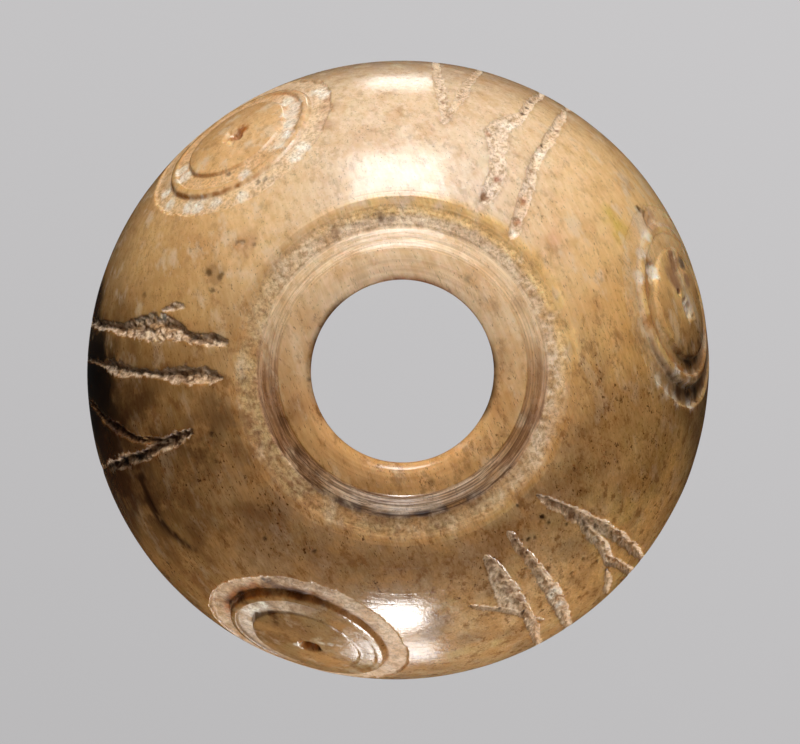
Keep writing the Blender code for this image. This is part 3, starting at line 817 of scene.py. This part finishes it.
def chattered(places):
    """The rough, slightly radial texture of the ledge, about -1.5 to 1.5."""
    cells = polar(places.turn, 6.8 / 0.13, places.radius / 0.40)
    return 0.8 * noise(cells, 1.0, 310) + layered(places.point, 0.22, 3, 311)


def mouth_points(azimuth, radius):
    """The point of the turned mouth at an azimuth and a radius, as a row of one point."""
    on_top = (RUN_HEIGHT > SHOULDER_HEIGHT) & (RUN < RUN[np.argmax(RUN_HEIGHT)] + 14.0)
    height = np.interp(radius, RUN_RADIUS[on_top], RUN_HEIGHT[on_top])
    return off_round(polar(np.array([azimuth]), np.array([radius]), np.array([height])))


class Carved:
    """The carved surface: where its points end up, and how each is coloured."""

    def __init__(self, places):
        self.places = places
        self.x, self.y, self.z = places.point.T
        self.on_top = self.z > SHOULDER_HEIGHT
        self.dark_side = smooth(3, -3, self.y)
        self.south = smooth(4, -4, self.y)
        self.cloud = layered(places.point, 0.8, 3, 450)
        count = len(places.turn)
        depth, (self.inside, self.chalk, self.dirt, self.outside) = stroke_carving(places)
        self.specks = speck_cover(places)
        self.lines = turned_lines(places)
        self.chatter = chattered(places)
        radius = places.radius
        top = (places.height > MOUTH_HEIGHT) * 1.0
        self.collar = top * between(5.36, 5.44, 6.24, 6.36, radius)
        self.ledge = top * between(6.10, 6.35, 6.95, 7.45, radius)
        self.lip = top * smooth(5.46, 5.36, radius)
        grooves = sum(bell(radius, ring, GROOVE_WIDTH) for ring in GROOVE_RADII)
        inward = 0.022 + 0.010 * layered(places.point, 2.5, 2, 320)
        inward += self.collar * LINES_DEPTH * (1.0 + self.lines) + GROOVE_DEPTH * top * grooves
        inward += self.ledge * CHATTER_DEPTH * (0.2 + self.chatter)
        inward += depth + 0.04 * self.specks
        self.point = places.point - np.maximum(inward, 0.0)[:, None] * places.normal
        self.bit_out = np.full(count, 9.0)
        self.bit_place = np.zeros((count, 2))
        self.mark = np.full(count, -1)
        self.ring = np.zeros(count)
        for number in range(len(MARKS)):
            picked, local, cut, in_outer, in_inner = mark_carving(places, number)
            self.point[picked] -= cut[:, None] * MARK_FRAMES[number][3]
            self.bit_out[picked] = np.hypot(local[:, 0], local[:, 1])
            self.mark[picked] = number
            rough_outer = in_outer * smooth(3.6, 3.75, self.bit_out[picked])
            if number == SOUTH_MARK:
                in_inner = in_inner * smooth(0.8, -1.4, local[:, 0])
            self.ring[picked] = np.maximum(rough_outer, in_inner)
            self.bit_place[picked] = local[:, :2]

    def by_mark(self, *values):
        """One of three values for each point, by the mark it lies on, and 0 off the marks."""
        return np.take((*values, 0.0), self.mark)

    def toward(self, azimuth):
        """1 for points at an azimuth, falling to 0 a quarter turn away and to -1 opposite."""
        return (self.places.point[:, :2] @ heading(azimuth)) / self.places.radius

    def lay(self, name, amount):
        """Lay a named colour over the surface, by an amount for each point."""
        self.tint = blend(self.tint, name, amount)

    def rawness(self):
        """How rough and matt each point is, from 0, polished, to 1."""
        return np.maximum.reduce([self.inside, 0.75 * self.ledge,
                                  self.ring * self.by_mark(0.30, 0.75, 0.75)])

    def fleckedness(self):
        """How much each point is flecked; above 1 in stains, which hide the paler clouds."""
        flecks = (1.0 - 0.6 * self.rawness()) * (1.0 - 0.5 * self.collar)
        flecks *= 0.35 + 0.65 * smooth(6, -3, self.point[:, 1])
        flecks *= 1.0 - 0.35 * self.lip
        stain = self.point[:, :2] @ heading(194) / np.hypot(*self.point[:, :2].T)
        stain = smooth(0.90, 0.98, stain) * smooth(52, 36, self.places.rise)
        flecks = np.maximum(flecks, 1.1 * stain)
        flecks *= 1.0 - 0.25 * ((self.mark == SOUTH_MARK) & (self.bit_out < 3.6))
        return np.maximum(flecks, 1.25 * smooth(0.10, 0.035, self.tint @ LUMINANCE))

    def colour_all(self):
        """Set each point's colour, apart from the fibres, flecks and grit."""
        self.tint = np.tile(colour("cream"), (len(self.x), 1))
        self.colour_dome()
        self.colour_ledge()
        self.colour_collar_and_lip()
        self.colour_marks()
        self.colour_strokes()
        self.lay("tan", 0.5 * self.places.in_bore * (self.z < 11.5))

    def colour_dome(self):
        """Cream bone: clouds, a paler north that is partly painted sheen, warmer flanks, soil to the
        south and west, stains and the vein.
        """
        point, radius, x, y = self.places.point, self.places.radius, self.x, self.y
        lay, toward = self.lay, self.toward
        tone = layered(point, 4.5, 3, 400)
        lay("ivory", 0.35 * smooth(0, 1, tone))
        lay("honey", 0.40 * smooth(0, -1, tone))
        lay("tan", 0.35 * smooth(0.1, 1, layered(point, 1.4, 3, 410)))
        # Paler to the north and palest round the main highlight: partly the bone's paler tone, partly
        # painted sheen of the main light.
        lay("ivory", 0.35 * smooth(3, 11, y))
        clean = between(-6, -1, 3, 10, x)
        clean *= smooth(1, 8, y) * (1.0 - 0.6 * smooth(9.5, 12, y))
        lay("pearl", 0.85 * clean)
        lay("peach", 0.55 * (smooth(3, 7, np.abs(x)) * smooth(-1, 5, y)))
        lay("honey", 0.25 * smooth(-2, -12, y))
        for name, strength, low, high, size, layers, seed in SOUTH_CLOUDS:
            lay(name, strength * self.south * smooth(low, high, layered(point, size, layers, seed)))
        warm = smooth(4, 11, np.abs(x)) * (1.0 - 0.35 * smooth(0, 8, y))
        self.tint = self.tint * (1.0 - warm[:, None] * WARMTH)
        west = smooth(-3, -13, x) * smooth(6, -3, y)
        lay("umber", 0.35 * west)
        soiled = smooth(0.1, 0.95, toward(216)) * (0.55 + 0.45 * smooth(-0.4, 0.6, tone))
        lay("brown", 0.55 * soiled)
        lay("brown", 0.60 * (smooth(0.3, 0.9, toward(292)) * bell(radius, 8.5, 1.1)))
        rim_zone = smooth(34, 12, self.places.rise) * smooth(-0.1, 0.6, toward(128))
        lay("brown", 0.40 * rim_zone)
        self.tint = patched(self.tint, point, dome_points, PATCHES, 420)

        side, width = nearest_on_path(point, self.places.normal, VEIN)
        across = side / (0.5 * width) + 0.4 * layered(point, 0.4, 2, 445)
        vein = smooth(1, 0.3, across) * smooth(-3.2, 0, across) * smooth(0.08, 0.25, width)
        lay("dark", 0.95 * vein)

    def colour_ledge(self):
        """Pale, chattered crests over brown lows, paler towards the lamps partly by painted light,
        with an ochre border and the collar's painted shadow on its inner edge to the south.
        """
        lay, radius, cloud, chatter = self.lay, self.places.radius, self.cloud, self.chatter
        # Paler chalk towards the north-east, where the lamps fall, and straw and browner lows towards
        # the south-west: partly the ledge's own tone, partly painted light and shade.
        lit_side_and_tone = smooth(-8, 4, self.x + self.y)
        light = (0.45 + 0.45 * lit_side_and_tone) * self.ledge * smooth(-0.7, 0.3, chatter)
        lay("brown", (0.50 - 0.15 * lit_side_and_tone) * self.ledge * smooth(0, -0.9, chatter))
        lay("chalk", light * lit_side_and_tone)
        lay("straw", 1.2 * light * (1.0 - lit_side_and_tone))
        # Browner on the ledge's inner part to the south: painted shadow that the collar casts there.
        inner = smooth(6.90, 6.50, radius) * smooth(0.45, 0.95, self.toward(275))
        lay("brown", 0.50 * self.ledge * inner)
        lay("tan", (0.65 - 0.35 * lit_side_and_tone) * self.ledge * smooth(-0.2, 0.8, cloud))
        border = between(6.80, 7.10, 7.35, 7.6, radius) * self.on_top
        lay("ochre", (0.22 + 0.28 * lit_side_and_tone) * border * smooth(-0.9, 0.3, cloud))

    def colour_collar_and_lip(self):
        """Turning lines, darker to the south with painted glints on its southern ridges, a foot
        darkened by dirt and painted shadow, the lip with painted light and glow, and the bore's rim
        with painted shade at its sides.
        """
        lay, toward, radius, cloud = self.lay, self.toward, self.places.radius, self.cloud
        collar, lip, lines, dark_side = self.collar, self.lip, self.lines, self.dark_side
        lay("ochre", 0.60 * (bell(radius, 5.42, 0.045) * self.on_top))
        lay("ivory", 0.60 * collar * (1.0 - dark_side))
        lay("bruise", 0.35 * collar * dark_side)
        # Painted glints: pale pearl on the southern ridges of the turning lines, where the southern
        # lamp's highlight falls, with less umber in the lines there.
        painted_glint = collar * smooth(0.65, 0.97, toward(278))
        lay("umber", (0.08 + 0.22 * dark_side) * ((collar - 0.8 * painted_glint) * smooth(0, 0.5, lines)))
        lay("chalk", 0.60 * collar * smooth(-0.1, -0.7, lines))
        lay("pearl", 0.85 * painted_glint * smooth(0.4, -0.3, lines))
        flank = smooth(0.60, 0.90, np.abs(self.x) / radius) * smooth(2.5, -0.5, self.y)
        lay("rust", 0.30 * collar * flank)
        # The collar's foot, dark umber towards the south: partly dirt, partly painted shadow that the
        # collar casts on it.
        foot = between(6.02, 6.12, 6.26, 6.42, radius) * self.on_top
        foot = foot * smooth(0.60, 0.93, toward(272)) * smooth(-1.2, 0.3, cloud)
        lay("umber", 0.95 * foot)
        lay("dark", 0.40 * foot)
        # The lip is paler to the north. The chalk at its inner edge to the north is painted light,
        # and the extra honey to the south is painted glow of light through the bone, over its own
        # amber tone.
        lay("ivory", 0.75 * lip * (1.0 - dark_side))
        lay("chalk", 0.70 * lip * smooth(4.75, 4.4, radius) * smooth(0, 3, self.y))
        lay("olive", 0.30 * lip * smooth(0, 0.9, cloud))
        lay("honey", (0.15 + 0.30 * dark_side) * lip)
        # the bore's edge
        rim = smooth(4.10, 3.97, radius) * self.places.in_bore * (self.z > 11.2)
        rusty = rim * (0.15 + 0.65 * smooth(0, 0.7, toward(135)))
        lay("rust", rusty * smooth(-0.4, 0.5, layered(self.places.point, 1.6, 3, 480)))
        # Painted shade: soot on the bore's edge at its west and east sides, where the edge turns down
        # into shade.
        rim_painted_shade = smooth(0.70, 0.95, toward(160)) + smooth(0.85, 0.97, toward(352))
        rim_painted_shade = rim_painted_shade * smooth(4.06, 3.95, radius) * self.places.in_bore * smooth(-0.8, 0.4, cloud)
        lay("soot", 0.85 * rim_painted_shade)
        # the golden shoulder to the north-east: partly its own tone, partly painted glow where the
        # lamps fall
        gold_and_lamp_glow = between(6.6, 6.9, 7.6, 7.9, radius) * self.on_top
        lay("gold", 0.95 * gold_and_lamp_glow * smooth(0.20, 0.80, toward(55)) * smooth(-1.1, 0.1, cloud))
        self.tint = patched(self.tint, self.places.point, mouth_points, MOUTH_PATCHES, 490)

    def colour_marks(self):
        """Chalky rings, stained walls, worn crests and the patches of each mark, with painted light
        and shade in some bands and patches of the first mark.
        """
        point, out, lay, by_mark = self.places.point, self.bit_out, self.lay, self.by_mark
        south_mark = self.mark == SOUTH_MARK
        rough = self.ring * by_mark(0.4, 0.8, 1.0)
        lay("chalk", 0.55 * rough * smooth(-0.6, 0.4, layered(point, 0.28, 3, 430)))
        lay("brown", 0.45 * rough * smooth(0.35, 0.9, layered(point, 0.22, 3, 435)))
        # the outer ring's inner wall
        wall = between(3.48, 3.54, 3.70, 3.84, out)
        stained = wall * by_mark(0.0, 0.10, 0.90)
        stained *= 1.0 - 0.65 * smooth(-1.5, 2, self.bit_place[:, 0])
        broad = between(3.35, 3.48, 3.85, 4.05, out) * south_mark
        broad *= smooth(1, -1, self.bit_place[:, 0])
        stained = np.maximum(stained, 0.9 * broad)
        lay("amber", stained)
        lay("umber", stained * smooth(-0.6, 0.5, self.cloud))
        lay("chalk", wall * by_mark(0.6, 0.0, 0.0))
        thin = np.maximum(bell(out, 2.52, 0.05), bell(out, 3.20, 0.05))
        lay("umber", thin * by_mark(0.15, 0.25, 0.50))
        worn = smooth(-0.9, 0.2, layered(point, 0.4, 3, 437))
        for mark, ring, width, facing, reach, name, strength in RING_BANDS:
            faced = self.bit_place @ heading(facing) / out
            ends = np.cos(np.radians([reach + 15.0, reach - 15.0]))
            band = bell(out, ring, width) * smooth(*ends, faced)
            lay(name, strength * band * worn * (self.mark == mark))
        within = smooth(3.6, 3.4, out)
        lay("olive", 0.65 * within * south_mark * (1.0 - 0.6 * self.ring))
        lay("honey", 0.35 * within * (self.mark == NORTH_WEST_MARK))
        for number, (mark, x, y, reach, name, strength) in enumerate(MARK_PATCHES):
            centre, across, upward, outward = MARK_FRAMES[mark]
            offset = point - centre
            away = np.hypot(offset @ across - x, offset @ upward - y) / reach
            here = (self.mark == mark) & (offset @ outward > MARK_LOWEST)
            near = np.flatnonzero(here & (away < 1.5))
            ragged = away[near] + 0.30 * layered(point[near], 0.4 * reach, 3, 510 + number)
            self.tint[near] = blend(self.tint[near], name, strength * smooth(1, 0.45, ragged))

    def colour_strokes(self):
        """Chalk and soil in the strokes, with a faint brown halo round them, and the specks."""
        point, lay = self.places.point, self.lay
        halo = smooth(0.22, 0, self.outside) * smooth(-0.4, 0.6, layered(point, 0.5, 3, 455))
        lay("brown", 0.40 * halo)
        lay("pearl", self.chalk * (1.0 - self.south))
        lay("chalk", self.chalk * self.south)
        lay("umber", self.dirt)
        stained = patched(self.tint.copy(), point, dome_points, STROKE_PATCHES, 560)
        self.tint = self.tint + (stained - self.tint) * self.inside[:, None]
        lay("dark", 0.95 * self.specks)


def store(mesh, name, kind, key, values):
    """Keep a number or a colour for each of the mesh's points, for the material to read."""
    attribute = mesh.attributes.new(name, kind, "POINT")
    attribute.data.foreach_set(key, values.astype(np.float32).ravel())


def add_object(name, data):
    thing = bpy.data.objects.new(name, data)
    bpy.context.scene.collection.objects.link(thing)
    return thing


def make_whorl():
    turn, run, triangles = refined_triangles()
    carved = Carved(Places(turn, run))
    carved.colour_all()
    mesh = bpy.data.meshes.new("carved_whorl")
    mesh.vertices.add(len(turn))
    mesh.vertices.foreach_set("co", (carved.point * MM).ravel())
    mesh.loops.add(3 * len(triangles))
    mesh.loops.foreach_set("vertex_index", triangles.ravel().astype(np.int32))
    mesh.polygons.add(len(triangles))
    mesh.polygons.foreach_set("loop_start", np.arange(0, 3 * len(triangles), 3, dtype=np.int32))
    mesh.update(calc_edges=True)
    mesh.validate()
    mesh.shade_smooth()
    store(mesh, "raw", "FLOAT", "value", carved.rawness())
    store(mesh, "flecks", "FLOAT", "value", carved.fleckedness())
    # The turning lines show more to the south; their pale crests there are partly painted glints from
    # the southern lamp.
    turned = carved.collar * (0.30 + 0.70 * smooth(0.5, -4.5, carved.point[:, 1]))
    store(mesh, "turned", "FLOAT", "value", turned)
    tint = np.concatenate([carved.tint, np.ones((len(turn), 1))], axis=1)
    store(mesh, "tint", "FLOAT_COLOR", "color", tint)
    return add_object("carved_whorl", mesh)


# ---------------------------------------------------------------- the material
class Shading:
    """Short ways to add nodes to a material."""

    def __init__(self, name):
        self.material = bpy.data.materials.new(name)
        self.material.use_nodes = True
        self.nodes = self.material.node_tree.nodes
        self.links = self.material.node_tree.links
        self.shader = self.nodes["Principled BSDF"]

    def put(self, socket, value):
        if hasattr(value, "node"):
            self.links.new(value, socket)
        else:
            socket.default_value = value

    def node(self, kind, inputs, **settings):
        node = self.nodes.new("ShaderNode" + kind)
        for name, value in settings.items():
            setattr(node, name, value)
        for name, value in inputs.items():
            self.put(node.inputs[name], value)
        return node

    def math(self, operation, *values):
        return self.node("Math", dict(enumerate(values)), operation=operation).outputs[0]

    def times(self, first, second):
        return self.math("MULTIPLY", first, second)

    def attribute(self, name):
        node = self.node("Attribute", {}, attribute_name=name)
        return node.outputs["Color"] if name == "tint" else node.outputs["Fac"]

    def step(self, value, low, high, bottom=0.0, top=1.0):
        node = self.node("MapRange", {"Value": value, "From Min": low, "From Max": high,
                                      "To Min": bottom, "To Max": top},
                         interpolation_type="SMOOTHSTEP")
        return node.outputs["Result"]

    def noise(self, vector, detail=2.0, rough=0.5, scale=1.0):
        node = self.node("TexNoise", {"Vector": vector, "Scale": scale, "Detail": detail,
                                      "Roughness": rough})
        return node.outputs["Fac"]

    def stretched(self, vector, lengths):
        """Places measured along the fibres and across them, in the given lengths."""
        node = self.node("Mapping", {"Vector": vector,
                                     "Rotation": (0.0, 0.0, math.radians(-GRAIN_AZIMUTH))})
        return self.scaled(node.outputs[0], tuple(1.0 / length for length in lengths))

    def vector(self, x, y, z=0.0):
        return self.node("CombineXYZ", {0: x, 1: y, 2: z}).outputs[0]

    def scaled(self, vector, factors):
        return self.node("VectorMath", {0: vector, 1: factors}, operation="MULTIPLY").outputs[0]

    def mix(self, share, first, second, how="MIX"):
        node = self.node("Mix", {}, data_type="RGBA", blend_type=how)
        self.put(node.inputs[0], share)
        self.put(node.inputs[6], first)
        self.put(node.inputs[7], second)
        return node.outputs[2]

    def bump(self, height, distance, normal=None):
        inputs = {"Height": height, "Distance": distance, "Strength": 1.0}
        if normal is not None:
            inputs["Normal"] = normal
        return self.node("Bump", inputs).outputs[0]


# The darkest and lightest shares of the bone's colour in its fibres, streaks, turning lines
# and grit. The turning lines' lightest share is partly painted glint on their crests.
FIBRE_DARK, FIBRE_LIGHT = (0.92, 0.87, 0.78, 1.0), (1.04, 1.05, 1.07, 1.0)
STREAK_DARK, STREAK_LIGHT = (0.76, 0.70, 0.62, 1.0), (1.12, 1.12, 1.12, 1.0)
LINE_DARK, LINE_LIGHT_AND_GLINT = (0.50, 0.39, 0.30, 1.0), (1.42, 1.40, 1.38, 1.0)
GRIT_DARK, GRIT_LIGHT = (0.64, 0.52, 0.38, 1.0), (1.20, 1.22, 1.24, 1.0)

# Flecks: their length and width, the noise's detail, how high it must stand where flecks are
# rare and where they crowd, colour and strength.
FLECKS = (
    (0.22, 0.11, 2.0, 0.82, 0.61, "rust", 0.80), (0.62, 0.26, 5.0, 0.71, 0.57, "umber", 0.85),
    (0.20, 0.15, 1.0, 0.84, 0.62, "umber", 0.90),
)


def rgba(name):
    return (*colour(name), 1.0)


def bone_material():
    """Old polished bone: fibres and flecks along one direction, chalky where it is carved."""
    make = Shading("bone")
    place = make.scaled(make.node("TexCoord", {}).outputs["Object"], (1.0 / MM,) * 3)
    raw = make.attribute("raw")
    turned = make.attribute("turned")
    amount = make.attribute("flecks")

    # long fibres
    fibres = make.noise(make.stretched(place, (3.5, 0.25, 0.25)), 3.0, 0.65)
    fibres = make.mix(make.step(fibres, 0.30, 0.70), FIBRE_DARK, FIBRE_LIGHT)
    base = make.mix(1.0, make.attribute("tint"), fibres, "MULTIPLY")

    # tan and ivory clouds, which stains hide, brown smudges and fine streaks
    cloud = make.noise(place, 5, 0.62, 0.75)
    unstained = make.step(amount, 1, 1.2, 1, 0)
    cloud = make.times(make.step(cloud, 0.47, 0.66, 0, 0.65), unstained)
    cloud = make.times(cloud, make.step(amount, 0.3, 0.8, 0.55, 1))
    base = make.mix(cloud, base, rgba("tan"))
    pale = make.noise(make.stretched(place, (1.8, 0.9, 0.9)), 4.0, 0.6)
    pale = make.times(make.step(pale, 0.52, 0.68, 0, 0.75), make.math("SUBTRACT", 1.25, amount))
    base = make.mix(pale, base, rgba("ivory"))
    smudge = make.noise(make.stretched(place, (0.9, 0.5, 0.5)), 5.0, 0.72)
    smudge = make.times(make.step(smudge, 0.51, 0.65, 0, 0.75), amount)
    base = make.mix(smudge, base, rgba("brown"), "DARKEN")
    streaks = make.noise(make.stretched(place, (1.1, 0.10, 0.10)), 3.0, 0.6)
    streaks = make.mix(make.step(streaks, 0.38, 0.62), STREAK_DARK, STREAK_LIGHT)
    base = make.mix(make.step(amount, 0.4, 1, 0, 0.45), base, streaks, "MULTIPLY")

    # flecks of several sizes, in crowds
    crowd = make.noise(place, 3, 0.6, 0.5)
    for along, across, detail, alone, crowded, name, strength in FLECKS:
        spots = make.noise(make.stretched(place, (along, across, across)), detail, 0.7)
        spots = make.math("SUBTRACT", spots, make.step(crowd, 0.38, 0.64, alone, crowded))
        spots = make.times(make.step(spots, 0, 0.10), amount)
        base = make.mix(make.times(spots, strength), base, rgba(name), "DARKEN")

    # thin dashes along the fibres
    dashes = make.noise(make.stretched(place, (0.30, 0.06, 0.06)), 1.0, 0.6)
    dashes = make.times(make.step(dashes, 0.67, 0.73, 0, 0.80),
                        make.math("MULTIPLY_ADD", amount, 0.70, 0.35))
    base = make.mix(dashes, base, rgba("umber"), "DARKEN")

    # turning lines, their pale crests partly painted glints
    flat = make.scaled(place, (1.0, 1.0, 0.0))
    reach = make.node("VectorMath", {0: flat}, operation="LENGTH").outputs["Value"]
    slow = make.noise(place, 0, 0.5, 0.25)
    lines = make.noise(make.vector(make.times(reach, 10.5), make.times(slow, 6.0)), 3.0, 0.7)
    lined = make.mix(make.step(lines, 0.40, 0.60), LINE_DARK, LINE_LIGHT_AND_GLINT)
    base = make.mix(turned, base, make.mix(1.0, base, lined, "MULTIPLY"))

    # grit in the rough places
    grain = make.noise(place, 4, 0.75, 6)
    grit = make.mix(make.step(grain, 0.36, 0.58), GRIT_DARK, GRIT_LIGHT)
    base = make.mix(make.times(raw, 0.9), base, make.mix(1.0, base, grit, "MULTIPLY"))
    make.put(make.shader.inputs["Base Color"], base)

    # polished bone, rubbed in places, matt where it is rough
    rub = make.noise(place, 4, 0.65, 1.7)
    rough = make.math("MULTIPLY_ADD", raw, 0.50, make.step(rub, 0.3, 0.7, 0.12, 0.22))
    rough = make.math("MULTIPLY_ADD", turned, 0.20, rough)
    make.put(make.shader.inputs["Roughness"], rough)

    # relief, with its height in metres: fine scratches round the axis, broader ones by the
    # ledge, a faint unevenness, the turning lines, fibres and grit
    upright = make.node("SeparateXYZ", {0: place}).outputs[2]
    ringed = make.vector(make.times(reach, 10.0), make.times(upright, 10.0), slow)
    by_ledge = make.noise(make.vector(make.times(reach, 4.2), slow), 1.0, 0.5)
    by_ledge = make.times(by_ledge, make.step(reach, 8, 9, 1, 0))
    fibres = make.noise(make.stretched(place, (0.75, 0.17, 0.17)), 2.0, 0.6)
    relief = None
    for height, distance in (
            (make.noise(ringed, 2, 0.6), 6.5e-6), (by_ledge, 4.0e-5),
            (make.noise(place, 2, 0.6, 5), 3.5e-6), (make.times(lines, turned), 3.0e-5),
            (fibres, 6.0e-6), (make.times(grain, raw), 4.5e-5)):
        relief = make.bump(height, distance, relief)
    make.put(make.shader.inputs["Normal"], relief)

    # light passes a little way into polished bone
    polish = make.math("MULTIPLY_ADD", make.math("MAXIMUM", raw, turned), -0.45, 0.5)
    make.put(make.shader.inputs["Subsurface Weight"], polish)
    make.put(make.shader.inputs["Subsurface Radius"], (1.0, 0.6, 0.35))
    make.put(make.shader.inputs["Subsurface Scale"], 0.00042)
    make.put(make.shader.inputs["IOR"], 1.54)
    return make.material


# ---------------------------------------------------------------- the studio
# Lengths in the studio are in metres, apart from the lens and the sensor, in millimetres.
LIGHT_DISTANCE = 0.40
LIGHT_AIM_HEIGHT = 0.006
CAMERA_PLACE = (-0.000105, -0.00003, 0.22)
CAMERA_LENS = 217.5
CAMERA_SENSOR = 36.0

# Soft boxes: azimuth, elevation, width, height, power and whether the bone mirrors them.
LIGHTS = {
    "main_box": (91.0, 30.0, 0.165, 0.18, 0.96, True),
    "second_box": (269.5, -2.0, 0.085, 0.12, 0.95, True),
    "main_glow": (90.0, -36.0, 0.07, 0.095, 0.11, True),
    "second_glow": (269.5, -30.0, 0.10, 0.14, 0.33, True),
    "north_soft": (90.0, 35.0, 0.28, 0.28, 0.75, False),
    "overhead": (90.0, 80.0, 0.28, 0.28, 0.12, False),
    "east_soft": (0.0, 55.0, 0.28, 0.28, 0.25, False),
    "south_low": (270.0, -25.0, 0.20, 0.20, 0.33, False),
}

# The floor is flat out to FLOOR_RADIUS and then sweeps up in an arc. It lies a hair under the
# base, so that the two never share a plane.
FLOOR_RADIUS = 0.7
FLOOR_ARC = 0.5
FLOOR_TOP = 2.0
FLOOR_STEPS = 48
FLOOR_DROP = 0.00002


def make_lights():
    """Soft boxes that face the whorl's middle, each from an azimuth and an elevation."""
    for name, (azimuth, elevation, width, height, power, mirrored) in LIGHTS.items():
        data = bpy.data.lights.new(name, "AREA")
        data.shape = "RECTANGLE"
        data.size = width
        data.size_y = height
        data.energy = power
        light = add_object(name, data)
        around, up = math.radians(azimuth), math.radians(elevation)
        light.location = (LIGHT_DISTANCE * math.cos(up) * math.cos(around),
                          LIGHT_DISTANCE * math.cos(up) * math.sin(around),
                          LIGHT_DISTANCE * math.sin(up) + LIGHT_AIM_HEIGHT)
        light.rotation_euler = (math.radians(90.0 - elevation), 0.0, math.radians(azimuth + 90.0))
        light.visible_glossy = mirrored


def make_camera():
    data = bpy.data.cameras.new("camera")
    data.sensor_width = CAMERA_SENSOR
    data.lens = CAMERA_LENS
    data.clip_start = 0.01
    data.clip_end = 10.0
    camera = add_object("camera", data)
    camera.location = CAMERA_PLACE
    bpy.context.scene.camera = camera


def floor_material():
    """An even pale grey that glows by itself, a little lighter to the upper right."""
    make = Shading("pale_floor")
    place = make.node("TexCoord", {}).outputs["Object"]
    axes = make.node("SeparateXYZ", {0: place})
    light = make.step(axes.outputs[0], -0.03, 0.03, 0.512, 0.552)
    light = make.math("ADD", light, make.step(axes.outputs[1], -0.03, 0.03, -0.03, 0.045))
    tone = make.node("CombineColor", {0: light, 1: make.times(light, 0.985),
                                      2: make.times(light, 0.998)}).outputs[0]
    make.put(make.shader.inputs["Emission Color"], tone)
    make.put(make.shader.inputs["Emission Strength"], 1.0)
    make.put(make.shader.inputs["Base Color"], (0.0, 0.0, 0.0, 1.0))
    make.put(make.shader.inputs["Specular IOR Level"], 0.0)
    return make.material


def make_stage():
    """The floor, which neither shades nor lights the whorl, and a faint even light all round."""
    sweep = [(FLOOR_RADIUS + FLOOR_ARC * math.sin(turn), FLOOR_ARC - FLOOR_ARC * math.cos(turn))
             for turn in np.radians(np.linspace(0.0, 90.0, 10))]
    sweep.append((FLOOR_RADIUS + FLOOR_ARC, FLOOR_TOP))
    turns = [2.0 * math.pi * step / FLOOR_STEPS for step in range(FLOOR_STEPS)]
    points = [(radius * math.cos(turn), radius * math.sin(turn), height)
              for radius, height in sweep for turn in turns]
    faces = [tuple(range(FLOOR_STEPS))]
    for ring in range(len(sweep) - 1):
        for step in range(FLOOR_STEPS):
            here = ring * FLOOR_STEPS + step
            after = ring * FLOOR_STEPS + (step + 1) % FLOOR_STEPS
            faces.append((here, after, after + FLOOR_STEPS, here + FLOOR_STEPS))
    mesh = bpy.data.meshes.new("floor")
    mesh.from_pydata(points, [], faces)
    mesh.materials.append(floor_material())
    floor = add_object("floor", mesh)
    floor.location.z = -FLOOR_DROP
    floor.visible_shadow = False
    floor.visible_diffuse = False
    floor.visible_glossy = False
    world = bpy.data.worlds.new("studio")
    bpy.context.scene.world = world
    world.use_nodes = True
    background = world.node_tree.nodes["Background"]
    background.inputs["Color"].default_value = (1.0, 1.0, 1.0, 1.0)
    background.inputs["Strength"].default_value = 0.01
    bpy.context.scene.view_settings.view_transform = "Standard"


whorl = make_whorl()
whorl.data.materials.append(bone_material())
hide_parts("whorl")
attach(whorl, "root")
make_stage()
make_camera()
make_lights()
